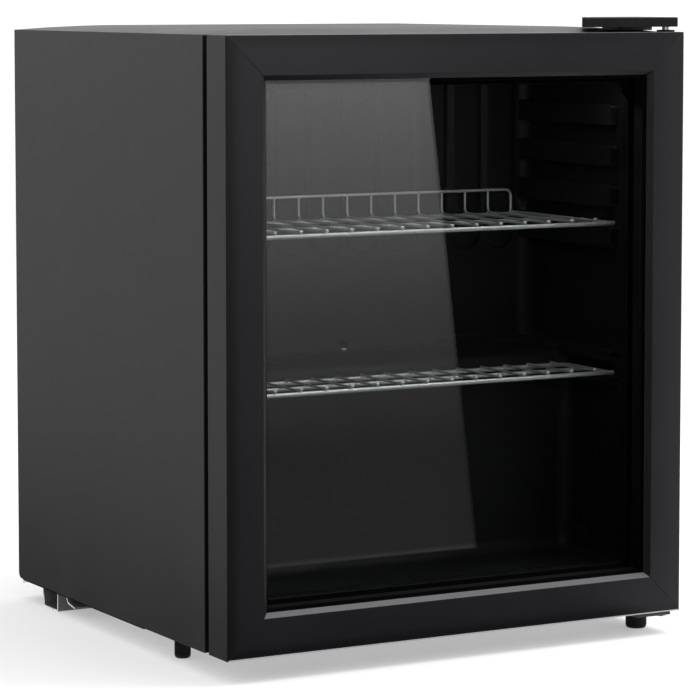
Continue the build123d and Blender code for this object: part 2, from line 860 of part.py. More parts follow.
# ---------------------------------------------------------------- controls and cord inlet
control_y = cabinet_back_y - control_from_back
control_low_z = base_top_z
control_high_z = base_top_z + 90.0
control_left_x = half_width - 80.0
knob_x = half_width - 52.0
knob_z = base_top_z + 58.0
gland_x = half_width - 18.0
gland_z = base_top_z + 30.0

with BuildPart() as control_bracket:
    block(
        (control_left_x, control_y - control_sheet, control_low_z),
        (half_width - shell_sheet, control_y, control_high_z),
    )
    block(
        (control_left_x, control_y - 26.0, control_low_z),
        (half_width - shell_sheet, control_y, control_low_z + control_sheet),
    )
    hole_radius = knob_shaft / 2 + pin_play
    rod((knob_x, control_y - 5, knob_z), (knob_x, control_y + 5, knob_z), 2 * hole_radius, Mode.SUBTRACT)
    rod((gland_x, control_y - 5, gland_z), (gland_x, control_y + 5, gland_z), gland_diameter, Mode.SUBTRACT)
save(control_bracket.part, "control_bracket")

with BuildPart() as thermostat_body:
    back = control_y - control_sheet
    block((knob_x - 16, back - 22, knob_z - 20), (knob_x + 16, back, knob_z + 20))
    fillet(thermostat_body.edges().filter_by(Axis.Y), 3.0)
    rod((knob_x, back - 8, knob_z), (knob_x, back + 1, knob_z), 2 * hole_radius, Mode.SUBTRACT)
save(thermostat_body.part, "thermostat_body")

with BuildPart() as thermostat_knob:
    knob_low = control_y + knob_gap
    knob_high = knob_low + knob_height
    rod((knob_x, knob_low, knob_z), (knob_x, knob_high, knob_z), knob_diameter)
    chamfer(thermostat_knob.edges().filter_by(GeomType.CIRCLE).sort_by(Axis.Y)[-1], 1.5)
    block((knob_x - 1, knob_high - 1, knob_z), (knob_x + 1, knob_high + 1, knob_z + 11))
    rod((knob_x, control_y - control_sheet - 7, knob_z), (knob_x, knob_low + 1, knob_z), knob_shaft)
save(thermostat_knob.part, "thermostat_knob")

with BuildPart() as cord_gland:
    rod((gland_x, control_y, gland_z), (gland_x, control_y + 6, gland_z), gland_diameter + 6)
    chamfer(cord_gland.edges().filter_by(GeomType.CIRCLE).sort_by(Axis.Y)[-1], 2.0)
    rod((gland_x, control_y - control_sheet, gland_z), (gland_x, control_y, gland_z), gland_diameter)
    rod(
        (gland_x, control_y - control_sheet - 3, gland_z),
        (gland_x, control_y - control_sheet, gland_z),
        gland_diameter + 4,
    )
    rod((gland_x, control_y - 10, gland_z), (gland_x, control_y + 10, gland_z), gland_bore, Mode.SUBTRACT)
save(cord_gland.part, "cord_gland")

# ---------------------------------------------------------------- upper hinge
plate_left_x = half_width - hinge_plate_width
plate_right_x = half_width - 2.0 - cover_wall - 0.8
pad_z = top_z + hinge_pad_rise
arm_z = top_z + hinge_arm_rise
arm_front_y = door_front_y + 7.0
riser_y = cabinet_front_y + 1.0
with BuildPart() as upper_hinge_plate:
    pad_back_y = cabinet_front_y + hinge_pad_length
    section = [
        (riser_y, pad_z),
        (pad_back_y, pad_z),
        (pad_back_y, pad_z + hinge_plate),
        (riser_y + hinge_plate, pad_z + hinge_plate),
        (riser_y + hinge_plate, arm_z + hinge_plate),
        (arm_front_y, arm_z + hinge_plate),
        (arm_front_y, arm_z),
        (riser_y, arm_z),
    ]
    add(side_bar(section, plate_left_x, plate_right_x))
    for x, y in upper_screws:
        rod((x, y, pad_z - 1), (x, y, pad_z + 5), screw_diameter, Mode.SUBTRACT)
    rod((pin_x, pin_y, arm_z - 1), (pin_x, pin_y, arm_z + 5), pin_diameter, Mode.SUBTRACT)
save(upper_hinge_plate.part, "upper_hinge_plate")

upper_hinge_screws = screws(
    upper_screws, lambda place: (place[0], place[1], pad_z + hinge_plate), (0, 0, -1), hinge_plate + screw_grip
)
save(upper_hinge_screws, "upper_hinge_screws")

pin_reach = bush_length - 2.0
with BuildPart() as upper_hinge_pin:
    rod((pin_x, pin_y, top_z - pin_reach), (pin_x, pin_y, arm_z + hinge_plate), pin_diameter)
    rod((pin_x, pin_y, arm_z + hinge_plate), (pin_x, pin_y, arm_z + hinge_plate + 1.6), pin_diameter + 4)
save(upper_hinge_pin.part, "upper_hinge_pin")

cover_low_z = top_z + cover_rise
cover_high_z = cover_low_z + cover_height
cover_right_x = half_width - 2.0
cover_front_y = door_front_y + cover_set_back
cover_back_y = cover_front_y + cover_depth
with BuildPart() as hinge_cover:
    with BuildSketch(Plane.XY.offset(cover_low_z)):
        with BuildLine():
            Polyline(
                (cover_right_x, cover_front_y),
                (cover_right_x, cover_back_y),
                (cover_right_x - cover_rear_width, cover_back_y),
                (cover_right_x - cover_front_width, cover_front_y),
                close=True,
            )
        make_face()
    extrude(amount=cover_height)
    fillet(hinge_cover.edges().filter_by(Axis.Z), 1.6)
    fillet(hinge_cover.faces().sort_by(Axis.Z)[-1].edges(), 0.8)
    offset(amount=-cover_wall, openings=hinge_cover.faces().sort_by(Axis.Z)[0])
    # bosses that rest on the hinge arm
    boss_low = arm_z + hinge_plate
    for x in (plate_left_x + 6, plate_left_x + 20):
        rod((x, cabinet_front_y - 8, boss_low), (x, cabinet_front_y - 8, cover_high_z - 0.4), 5.0)
save(hinge_cover.part, "hinge_cover")

# ---------------------------------------------------------------- lower hinge bracket
bracket_right_x = half_width - bracket_inset
bracket_left_x = bracket_right_x - bracket_width
lower_arm_z = bottom_z - bush_flange - hinge_play
bracket_pad_y = cabinet_front_y + bracket_pad_start
with BuildPart() as lower_hinge_bracket:
    section = [
        (arm_front_y, lower_arm_z),
        (bracket_pad_y, lower_arm_z),
        (bracket_pad_y, bottom_z),
        (bracket_pad_y + bracket_pad_length, bottom_z),
        (bracket_pad_y + bracket_pad_length, bottom_z - hinge_plate),
        (bracket_pad_y + hinge_plate, bottom_z - hinge_plate),
        (bracket_pad_y + hinge_plate, lower_arm_z - hinge_plate),
        (arm_front_y, lower_arm_z - hinge_plate),
    ]
    add(side_bar(section, bracket_left_x, bracket_right_x))
    for x, y in lower_screws:
        rod((x, y, bottom_z - 5), (x, y, bottom_z + 5), screw_diameter, Mode.SUBTRACT)
    rod((pin_x, pin_y, lower_arm_z - 5), (pin_x, pin_y, lower_arm_z + 5), pin_diameter, Mode.SUBTRACT)
    stem_hole = foot_stem + 2 * foot_stem_play
    rod(
        (right_foot_x, right_foot_y, lower_arm_z - 5),
        (right_foot_x, right_foot_y, lower_arm_z + 5),
        stem_hole,
        Mode.SUBTRACT,
    )
save(lower_hinge_bracket.part, "lower_hinge_bracket")

lower_hinge_screws = screws(
    lower_screws,
    lambda place: (place[0], place[1], bottom_z - hinge_plate),
    (0, 0, 1),
    hinge_plate + screw_grip,
)
save(lower_hinge_screws, "lower_hinge_screws")

with BuildPart() as lower_hinge_pin:
    head_z = lower_arm_z - hinge_plate
    rod((pin_x, pin_y, head_z), (pin_x, pin_y, bottom_z + pin_reach), pin_diameter)
    rod((pin_x, pin_y, head_z - 1.6), (pin_x, pin_y, head_z), pin_diameter + 4)
save(lower_hinge_pin.part, "lower_hinge_pin")

rear_panel_screws = screws(
    panel_screws,
    lambda place: (place[0], foam_back_y + panel_sheet, place[1]),
    (0, -1, 0),
    panel_sheet + screw_grip,
)
save(rear_panel_screws, "rear_panel_screws")

base_plate_screws = screws(
    base_screws, lambda place: (place[0], place[1], rail_top_z), (0, 0, 1), base_sheet + screw_grip
)
save(base_plate_screws, "base_plate_screws")

# ---------------------------------------------------------------- levelling feet
with BuildPart() as left_foot_socket:
    socket_low = bottom_z + panel_sheet
    left_foot = (left_foot_x, left_foot_y)
    rod((*left_foot, socket_low), (*left_foot, socket_low + foot_socket_height), foot_socket_diameter)
    socket_high = socket_low + foot_socket_height
    rod((*left_foot, socket_low - 1), (*left_foot, socket_high + 1), stem_hole, Mode.SUBTRACT)
save(left_foot_socket.part, "left_foot_socket")

with BuildPart() as front_left_foot:
    rod((*left_foot, 0), (*left_foot, left_foot_height), left_foot_diameter)
    fillet(front_left_foot.edges().filter_by(GeomType.CIRCLE).sort_by(Axis.Z)[0], 2.0)
    rod((*left_foot, left_foot_height), (*left_foot, bottom_z + foot_socket_height), foot_stem)
save(front_left_foot.part, "front_left_foot")

with BuildPart() as front_right_foot:
    right_foot = (right_foot_x, right_foot_y)
    rod((*right_foot, 0), (*right_foot, right_foot_height), right_foot_diameter)
    fillet(front_right_foot.edges().filter_by(GeomType.CIRCLE).sort_by(Axis.Z)[0], 2.5)
    rod((*right_foot, right_foot_height), (*right_foot, lower_arm_z + 1.0), foot_stem)
save(front_right_foot.part, "front_right_foot")

# ---------------------------------------------------------------- door frame
body_back_y = door_front_y + door_body_depth
cover_inset = frame_width - glass_cover
section_points = [
    (0.0, 0.0),
    (outer_bevel, -bevel_rise),
    (frame_width - inner_bevel, -bevel_rise),
    (frame_width, inner_bevel_drop - bevel_rise),
    (frame_width, front_lip_depth),
    (cover_inset, front_lip_depth),
    (cover_inset, door_body_depth),
    (backing_inset, door_body_depth),
    (backing_inset, door_thickness),
    (0.0, door_thickness),
]
chamber_points = [
    (frame_wall, front_lip_depth + frame_wall),
    (cover_inset - frame_wall, front_lip_depth + frame_wall),
    (cover_inset - frame_wall, door_body_depth - frame_wall),
    (frame_wall, door_body_depth - frame_wall),
]
bushes = [(pin_x, pin_y, top_z, -1), (pin_x, pin_y, bottom_z, 1)]


def cut_bush_holes():
    """Holes for the hinge bushes, in the part that is being built."""
    for x, y, z, inward in bushes:
        rod((x, y, z - inward), (x, y, z + inward * bush_length), bush_diameter, Mode.SUBTRACT)


def mitre_prism(points):
    """The stretch of the door between two mitre cuts, as a part."""
    with BuildPart() as prism:
        with BuildSketch(Plane.XZ):
            with BuildLine():
                Polyline(*points, close=True)
            make_face()
        extrude(amount=big, both=True)
    return prism.part


def rail(edge_z, inward):
    """A mitred rail across the door, with its outer edge at a height, as a part."""
    outline = [(door_front_y + y, edge_z + inward * u) for u, y in section_points]
    chamber = [(door_front_y + y, edge_z + inward * u) for u, y in chamber_points]
    with BuildPart() as bar:
        add(side_bar(outline, -half_width, half_width))
        add(side_bar(chamber, -half_width - 1, half_width + 1), mode=Mode.SUBTRACT)
        inner_z = edge_z + inward * frame_width
        inner_x = half_width - frame_width
        mitre = [(-half_width, edge_z), (half_width, edge_z), (inner_x, inner_z), (-inner_x, inner_z)]
        add(mitre_prism(mitre), mode=Mode.INTERSECT)
        cut_bush_holes()
    return bar.part


def stile(side):
    """A mitred upright of the door, at the left (-1) or the right (1), as a part."""
    outline = [(side * (half_width - u), door_front_y + y) for u, y in section_points]
    chamber = [(side * (half_width - u), door_front_y + y) for u, y in chamber_points]
    with BuildPart() as bar:
        add(upright_bar(outline, bottom_z, top_z))
        add(upright_bar(chamber, bottom_z - 1, top_z + 1), mode=Mode.SUBTRACT)
        edge_x = side * half_width
        inner_x = side * (half_width - frame_width)
        low = bottom_z + frame_width
        high = top_z - frame_width
        mitre = [(edge_x, bottom_z), (edge_x, top_z), (inner_x, high), (inner_x, low)]
        add(mitre_prism(mitre), mode=Mode.INTERSECT)
        cut_bush_holes()
    return bar.part


save(rail(top_z, -1), "top_rail")
save(rail(bottom_z, 1), "bottom_rail")
save(stile(-1), "left_stile")
save(stile(1), "right_stile")

with BuildPart() as corner_keys:
    key_inset = frame_wall + key_play
    key_width = cover_inset - 2 * frame_wall - 2 * key_play
    key_front_y = door_front_y + front_lip_depth + frame_wall + key_play
    key_back_y = body_back_y - frame_wall - key_play
    for side in (-1, 1):
        for edge_z, inward in ((bottom_z, 1), (top_z, -1)):
            corner_x = side * (half_width - key_inset)
            corner_z = edge_z + inward * key_inset
            for reach_x, reach_z in ((key_leg, key_width), (key_width, key_leg)):
                far_x = corner_x - side * reach_x
                far_z = corner_z + inward * reach_z
                block(
                    (min(corner_x, far_x), key_front_y, min(corner_z, far_z)),
                    (max(corner_x, far_x), key_back_y, max(corner_z, far_z)),
                )
    cut_bush_holes()
save(corner_keys.part, "corner_keys")

for (x, y, z, inward), name in zip(bushes, ("upper_hinge_bush", "lower_hinge_bush")):
    with BuildPart() as bush:
        rod((x, y, z), (x, y, z + inward * bush_length), bush_diameter)
        rod((x, y, z - inward * bush_flange), (x, y, z), bush_flange_diameter)
        bore = pin_diameter + 2 * pin_play
        rod((x, y, z - inward * 5), (x, y, z + inward * (bush_length + 5)), bore, Mode.SUBTRACT)
    save(bush.part, name)

# ---------------------------------------------------------------- glazing
pane_inset = cover_inset + pane_play
pane_half = half_width - pane_inset
pane_low = bottom_z + pane_inset
pane_high = top_z - pane_inset
outer_pane_y = door_front_y + front_lip_depth
inner_pane_y = outer_pane_y + pane_thickness + pane_gap
for y, name in ((outer_pane_y, "outer_glass"), (inner_pane_y, "inner_glass")):
    with BuildPart() as pane:
        block((-pane_half, y, pane_low), (pane_half, y + pane_thickness, pane_high))
    save(pane.part, name)

gap_low_y = outer_pane_y + pane_thickness
edge_sealant = ring(
    pane_half,
    pane_half - sealant_width,
    (pane_low, pane_high),
    (pane_low + sealant_width, pane_high - sealant_width),
    gap_low_y,
    inner_pane_y,
)
save(edge_sealant, "edge_sealant")
spacer_inset = sealant_width + spacer_width
glass_spacer = ring(
    pane_half - sealant_width,
    pane_half - spacer_inset,
    (pane_low + sealant_width, pane_high - sealant_width),
    (pane_low + spacer_inset, pane_high - spacer_inset),
    gap_low_y,
    inner_pane_y,
)
save(glass_spacer, "glass_spacer")

# ---------------------------------------------------------------- backing frame, seal and magnets
window_inset = backing_inset + backing_width
door_backing_frame = ring(
    half_width - backing_inset,
    half_width - window_inset,
    (bottom_z + backing_inset, top_z - backing_inset),
    (bottom_z + window_inset, top_z - window_inset),
    body_back_y,
    door_back_y,
    8.0,
)
save(door_backing_frame, "door_backing_frame")

seal_inner_inset = seal_inset + seal_width
seal_back_y = cabinet_front_y - seal_clearance
magnet_inset = seal_inset + (seal_width - magnet_width) / 2
magnet_inner_inset = magnet_inset + magnet_width
magnet_back_y = seal_back_y - 1.2
magnet_front_y = magnet_back_y - magnet_depth
with BuildPart() as door_seal:
    add(
        ring(
            half_width - seal_inset,
            half_width - seal_inner_inset,
            (bottom_z + seal_inset, top_z - seal_inset),
            (bottom_z + seal_inner_inset, top_z - seal_inner_inset),
            door_back_y,
            seal_back_y,
            12.0,
        )
    )
    add(
        ring(
            half_width - magnet_inset,
            half_width - magnet_inner_inset,
            (bottom_z + magnet_inset, top_z - magnet_inset),
            (bottom_z + magnet_inner_inset, top_z - magnet_inner_inset),
            magnet_front_y,
            magnet_back_y,
        ),
        mode=Mode.SUBTRACT,
    )
save(door_seal.part, "door_seal")

with BuildPart() as seal_magnets:
    outer = half_width - magnet_inset
    inner = half_width - magnet_inner_inset
    for z_low, z_high in (
        (bottom_z + magnet_inset, bottom_z + magnet_inner_inset),
        (top_z - magnet_inner_inset, top_z - magnet_inset),
    ):
        block((-outer, magnet_front_y, z_low), (outer, magnet_back_y, z_high))
    for x_low, x_high in ((-outer, -inner), (inner, outer)):
        z_low = bottom_z + magnet_inner_inset + key_play
        z_high = top_z - magnet_inner_inset - key_play
        block((x_low, magnet_front_y, z_low), (x_high, magnet_back_y, z_high))
save(seal_magnets.part, "seal_magnets")

# ---------------------------------------------------------------- wire shelves
shelf_half = cavity_half - shelf_side_gap - frame_wire / 2
shelf_front_y = cabinet_front_y + shelf_front_set_back
cross_rise = (frame_wire + cross_wire) / 2 - 0.5
front_wire_half = cavity_half - 2.0
wire_places = [n * wire_pitch for n in range(-wire_pairs, wire_pairs + 1)]


def shelf_frame(z, back_y):
    """Rim and middle stay of a wire shelf, in the part that is being built."""
    add(
        tube(
            [
                (-shelf_half, shelf_front_y, z),
                (-shelf_half, back_y, z),
                (shelf_half, back_y, z),
                (shelf_half, shelf_front_y, z),
            ],
            8.0,
            frame_wire,
        )
    )
    rod((-front_wire_half, shelf_front_y, z), (front_wire_half, shelf_front_y, z), front_wire)
    middle_y = (shelf_front_y + back_y) / 2
    rod((-shelf_half, middle_y, z), (shelf_half, middle_y, z), frame_wire - 0.8)


with BuildPart() as upper_shelf:
    shelf_z = bottom_z + upper_shelf_height
    shelf_back_y = cavity_back_y - shelf_back_gap - frame_wire / 2
    shelf_frame(shelf_z, shelf_back_y)
    cross_z = shelf_z + cross_rise
    guard_z = shelf_z + guard_height
    guard_y = shelf_back_y - 0.6
    end_x = wire_pairs * wire_pitch
    for x in wire_places[1:-1]:
        add(
            tube(
                [(x, shelf_front_y - 1.5, cross_z), (x, guard_y, cross_z), (x, guard_y, guard_z)],
                5.0,
                cross_wire,
            )
        )
    for x in (-end_x, end_x):
        rod((x, shelf_front_y - 1.5, cross_z), (x, shelf_back_y + 1.0, cross_z), cross_wire)
    guard_points = [
        (-end_x, guard_y, shelf_z),
        (-end_x, guard_y, guard_z),
        (end_x, guard_y, guard_z),
        (end_x, guard_y, shelf_z),
    ]
    add(tube(guard_points, 6.0, guard_wire))
save(upper_shelf.part, "upper_shelf")

with BuildPart() as lower_shelf:
    shelf_z = bottom_z + lower_shelf_height
    shelf_back_y = step_front_y - shelf_back_gap - frame_wire / 2
    shelf_frame(shelf_z, shelf_back_y)
    cross_z = shelf_z + cross_rise
    for x in wire_places:
        rod((x, shelf_front_y - 1.5, cross_z), (x, shelf_back_y + 1.0, cross_z), cross_wire)
save(lower_shelf.part, "lower_shelf")
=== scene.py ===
"""Builds the looks of a countertop glass-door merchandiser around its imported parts.

Lengths are metres in the parts' own frame: +Z up, the glass door faces -Y, hinges on the +X side.
"""
import json
import math

import bmesh
import bpy
from mathutils import Matrix, Vector, noise

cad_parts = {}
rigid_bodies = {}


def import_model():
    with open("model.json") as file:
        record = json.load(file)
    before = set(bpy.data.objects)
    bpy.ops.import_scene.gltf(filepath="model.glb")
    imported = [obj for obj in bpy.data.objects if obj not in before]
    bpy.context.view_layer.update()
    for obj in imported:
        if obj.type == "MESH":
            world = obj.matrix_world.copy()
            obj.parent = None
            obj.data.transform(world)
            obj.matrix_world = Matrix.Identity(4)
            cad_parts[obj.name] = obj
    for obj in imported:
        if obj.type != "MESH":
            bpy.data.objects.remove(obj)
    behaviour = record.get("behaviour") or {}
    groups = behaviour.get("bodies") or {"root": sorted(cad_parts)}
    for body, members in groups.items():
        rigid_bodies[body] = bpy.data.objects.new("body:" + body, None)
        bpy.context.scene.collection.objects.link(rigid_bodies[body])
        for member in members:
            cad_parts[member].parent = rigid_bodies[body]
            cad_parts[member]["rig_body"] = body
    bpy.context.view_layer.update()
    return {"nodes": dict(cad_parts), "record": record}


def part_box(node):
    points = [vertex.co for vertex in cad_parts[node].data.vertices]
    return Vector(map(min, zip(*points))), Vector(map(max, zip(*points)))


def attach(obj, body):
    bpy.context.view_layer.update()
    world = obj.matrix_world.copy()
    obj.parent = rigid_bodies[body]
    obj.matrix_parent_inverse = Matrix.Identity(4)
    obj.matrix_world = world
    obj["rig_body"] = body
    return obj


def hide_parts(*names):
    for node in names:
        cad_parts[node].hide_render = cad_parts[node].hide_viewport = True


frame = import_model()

bl_info = {
    "name": "Glass Door Merchandiser",
    "version": (1, 0, 0),
    "blender": (4, 5, 0),
    "location": "3D View > Sidebar > Merchandiser",
    "description": "Finishes and fine pieces for a countertop glass-door cooler",
    "category": "Object",
}

MM = 0.001


# ---------------------------------------------------------------- settings
def colour_setting(name, description, default):
    """A colour that the user may change."""
    return bpy.props.FloatVectorProperty(
        name=name, description=description, subtype="COLOR", size=3, min=0.0, max=1.0, default=default
    )


def number_setting(name, description, default, **more):
    """A number that the user may change."""
    return bpy.props.FloatProperty(name=name, description=description, default=default, **more)


def length_setting(name, description, default):
    """A length in metres that the user may change."""
    return number_setting(name, description, default, min=0.0, subtype="DISTANCE", unit="LENGTH", precision=5)


class MerchandiserLook(bpy.types.PropertyGroup):
    """Sizes and colours of the finishes and fine pieces."""

    paint: colour_setting("Cabinet paint", "Colour of the painted steel skin", (0.028, 0.028, 0.0272))
    door_paint: colour_setting("Door paint", "Colour of the door frame", (0.0078, 0.0079, 0.0099))
    liner: colour_setting("Liner", "Colour of the moulded liner", (0.011, 0.011, 0.0113))
    wire: colour_setting("Shelf wire", "Colour of the coated shelf wire", (0.62, 0.62, 0.63))
    plastic: colour_setting("Black plastic", "Colour of the small black mouldings", (0.005, 0.005, 0.0054))
    frame_radius: length_setting("Frame edge", "Rounding of the door frame's edges", 0.45 * MM)
    sheet_radius: length_setting("Sheet edge", "Rounding of folded sheet edges", 0.4 * MM)
    liner_radius: length_setting("Liner edge", "Rounding of the liner's ribs", 0.9 * MM)
    bead_size: length_setting("Weld bead", "Radius of a weld bead on the shelves", 1.7 * MM)
    flute_depth: length_setting("Flute depth", "How far the rear wall's flutes stand out", 2.75 * MM)


class StudioLook(bpy.types.PropertyGroup):
    """Camera, floor and lights."""

    camera_place: bpy.props.FloatVectorProperty(
        name="Camera place", description="Where the camera stands", subtype="XYZ", size=3, unit="LENGTH",
        default=(-1.3172, -2.3798, 0.5430),
    )
    camera_yaw: number_setting(
        "Camera yaw", "Turn from +Y towards +X", math.radians(29.173), subtype="ANGLE"
    )
    camera_pitch: number_setting(
        "Camera pitch", "Tilt above the horizon", math.radians(-4.643), subtype="ANGLE"
    )
    lens: number_setting("Lens", "Focal length in millimetres", 162.09)
    rise: number_setting("Lens shift", "Upward shift of the lens", -0.1463)
    floor_colour: colour_setting("Floor", "Colour of the studio floor", (0.6, 0.6, 0.6))
    floor_glow: number_setting("Floor glow", "Light from below the floor", 0.36)
    sky: number_setting("Sky", "Strength of the studio's white surround", 1.12)
    glare: number_setting("Glare", "Strength of the card that the glass mirrors", 1.0)


# ---------------------------------------------------------------- mesh tools
def linked(name, data):
    """A new object in the scene."""
    item = bpy.data.objects.new(name, data)
    bpy.context.scene.collection.objects.link(item)
    return item


def mesh_of(name, work):
    """A mesh from bmesh work, which is freed."""
    mesh = bpy.data.meshes.new(name)
    work.to_mesh(mesh)
    work.free()
    return mesh


def finish_object(name, mesh, body, slot, smooth_angle=40.0, finish=None):
    """Links a finished mesh, shades it, and makes it ride on a body."""
    piece = linked(name, mesh)
    mesh.materials.clear()
    mesh.materials.append(FINISHES[finish or slot])
    mesh.shade_smooth()
    mesh.set_sharp_from_angle(angle=math.radians(smooth_angle))
    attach(piece, body)
    return piece


def mesh_from(name, points, faces):
    """A mesh from points and faces, with its normals facing out."""
    mesh = bpy.data.meshes.new(name)
    mesh.from_pydata([tuple(p) for p in points], [], faces)
    work = bmesh.new()
    work.from_mesh(mesh)
    bmesh.ops.recalc_face_normals(work, faces=work.faces)
    work.to_mesh(mesh)
    work.free()
    return mesh


def shape_piece(name, shape, body, slot, smooth_angle=40.0, finish=None):
    """A finished piece from points and faces."""
    return finish_object(name, mesh_from(name, *shape), body, slot, smooth_angle, finish)


def eased(node, name, radius, slot, angle=30.0):
    """A copy of a node with its sharp edges rounded, standing for the node."""
    source = frame["nodes"][node]
    work = bmesh.new()
    work.from_mesh(source.data)
    bmesh.ops.remove_doubles(work, verts=work.verts, dist=0.004 * MM)
    bmesh.ops.dissolve_limit(
        work, angle_limit=math.radians(0.8), use_dissolve_boundaries=False, verts=work.verts, edges=work.edges
    )
    least = math.radians(angle)
    sharp = [
        e for e in work.edges
        if len(e.link_faces) == 2 and e.calc_face_angle(0.0) > least and e.calc_length() > radius
    ]
    bmesh.ops.bevel(
        work, geom=sharp, offset=radius, offset_type="OFFSET", segments=2, profile=0.6, affect="EDGES",
        clamp_overlap=True, harden_normals=False,
    )
    mesh = mesh_of(name, work)
    piece = finish_object(name, mesh, source["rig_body"], slot, 50.0, OWN_FINISH.get(node, slot))
    weight = piece.modifiers.new("even_shading", "WEIGHTED_NORMAL")
    weight.keep_sharp = True
    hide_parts(node)
    return piece


def sheet_faces(rows, columns, round_rows=False, round_columns=False):
    """Faces between a sheet's neighbouring points; a sheet may close on itself either way."""
    faces = []
    for row in range(rows if round_rows else rows - 1):
        a = row * columns
        b = (row + 1) % rows * columns
        for column in range(columns if round_columns else columns - 1):
            after = (column + 1) % columns
            faces.append((a + column, a + after, b + after, b + column))
    return faces


def turned(profile, place, steps, ripple=None):
    """Points and faces of a shape turned round the Z axis at a place, from (radius, height) pairs."""
    points = []
    for radius, height in profile:
        for step in range(steps):
            turn = 2 * math.pi * step / steps
            r = radius + (ripple(turn, height, radius) if ripple else 0.0)
            points.append((place[0] + r * math.cos(turn), place[1] + r * math.sin(turn), place[2] + height))
    faces = sheet_faces(len(profile), steps, round_columns=True)
    faces.append(tuple(range(steps)))
    last = (len(profile) - 1) * steps
    faces.append(tuple(last + step for step in range(steps)))
    return points, faces


def joined(groups):
    """One list of points and faces from several."""
    points = []
    faces = []
    for more_points, more_faces in groups:
        start = len(points)
        points += more_points
        faces += [tuple(start + i for i in face) for face in more_faces]
    return points, faces


def ring_path(low, high, radius, steps):
    """Points and outward directions round a rectangle with round corners, in X and Z."""
    path = []
    corners = [
        (high[0] - radius, high[1] - radius, 0.0),
        (low[0] + radius, high[1] - radius, 90.0),
        (low[0] + radius, low[1] + radius, 180.0),
        (high[0] - radius, low[1] + radius, 270.0),
    ]
    for x, z, start in corners:
        for step in range(steps + 1):
            turn = math.radians(start + 90.0 * step / steps)
            out = (math.cos(turn), math.sin(turn))
            path.append((x + radius * out[0], z + radius * out[1], out))
    return path


# ---------------------------------------------------------------- shader groups
def new_group(name, inputs, outputs):
    """An empty shader group with named sockets."""
    tree = bpy.data.node_groups.new(name, "ShaderNodeTree")
    for label, kind, default in inputs:
        socket = tree.interface.new_socket(name=label, in_out="INPUT", socket_type=kind)
        socket.default_value = default
    for label, kind in outputs:
        tree.interface.new_socket(name=label, in_out="OUTPUT", socket_type=kind)
    return tree, tree.nodes.new("NodeGroupInput"), tree.nodes.new("NodeGroupOutput")


def product(tree, a, b, clamp=False):
    """Multiplies two values."""
    node = tree.nodes.new("ShaderNodeMath")
    node.operation = "MULTIPLY"
    node.use_clamp = clamp
    tree.links.new(a, node.inputs[0])
    tree.links.new(b, node.inputs[1])
    return node.outputs[0]


def vector_maths(tree, operation, a, b):
    """A Vector Math node fed with two sockets."""
    node = tree.nodes.new("ShaderNodeVectorMath")
    node.operation = operation
    tree.links.new(a, node.inputs[0])
    tree.links.new(b, node.inputs[1])
    return node


def spread(tree, value, low, high, to_low=0.0, to_high=1.0):
    """A Map Range node that stretches a value."""
    node = tree.nodes.new("ShaderNodeMapRange")
    tree.links.new(value, node.inputs["Value"])
    node.inputs["From Min"].default_value = low
    node.inputs["From Max"].default_value = high
    node.inputs["To Min"].default_value = to_low
    node.inputs["To Max"].default_value = to_high
    return node.outputs["Result"]


def noise_at(tree, vector, scale, detail=3.0, rough=0.5):
    """A Noise Texture in the piece's own metres; gives its value."""
    node = tree.nodes.new("ShaderNodeTexNoise")
    tree.links.new(vector, node.inputs["Vector"])
    if isinstance(scale, (int, float)):
        node.inputs["Scale"].default_value = scale
    else:
        tree.links.new(scale, node.inputs["Scale"])
    node.inputs["Detail"].default_value = detail
    node.inputs["Roughness"].default_value = rough
    return node.outputs["Fac"]


def own_place(tree):
    """The piece's own coordinates, in metres."""
    return tree.nodes.new("ShaderNodeTexCoord").outputs["Object"]


def make_fine_texture():
    """Orange peel and faint cloudiness, for paint and moulded plastic."""
    tree, given, out = new_group(
        "fine_texture",
        [("Grain Scale", "NodeSocketFloat", 1500.0), ("Cloud Scale", "NodeSocketFloat", 12.0)],
        [("Height", "NodeSocketFloat"), ("Tone", "NodeSocketFloat"), ("Specks", "NodeSocketFloat")],
    )
    place = own_place(tree)
    grain = noise_at(tree, place, given.outputs["Grain Scale"], 2.0)
    cloud = noise_at(tree, place, given.outputs["Cloud Scale"], 4.0, 0.55)
    tree.links.new(grain, out.inputs["Height"])
    tree.links.new(spread(tree, cloud, 0.3, 0.7), out.inputs["Tone"])
    tree.links.new(spread(tree, grain, 0.56, 0.72), out.inputs["Specks"])


def make_drawn_grain():
    """Long fine lines left by drawing, rolling or brushing."""
    tree, given, out = new_group(
        "drawn_grain",
        [("Stretch", "NodeSocketVector", (1.0, 1.0, 1.0)), ("Grain Scale", "NodeSocketFloat", 300.0)],
        [("Height", "NodeSocketFloat"), ("Tone", "NodeSocketFloat")],
    )
    scaled = vector_maths(tree, "MULTIPLY", own_place(tree), given.outputs["Stretch"])
    lines = noise_at(tree, scaled.outputs[0], given.outputs["Grain Scale"], 4.0, 0.6)
    tree.links.new(lines, out.inputs["Height"])
    tree.links.new(spread(tree, lines, 0.35, 0.65), out.inputs["Tone"])


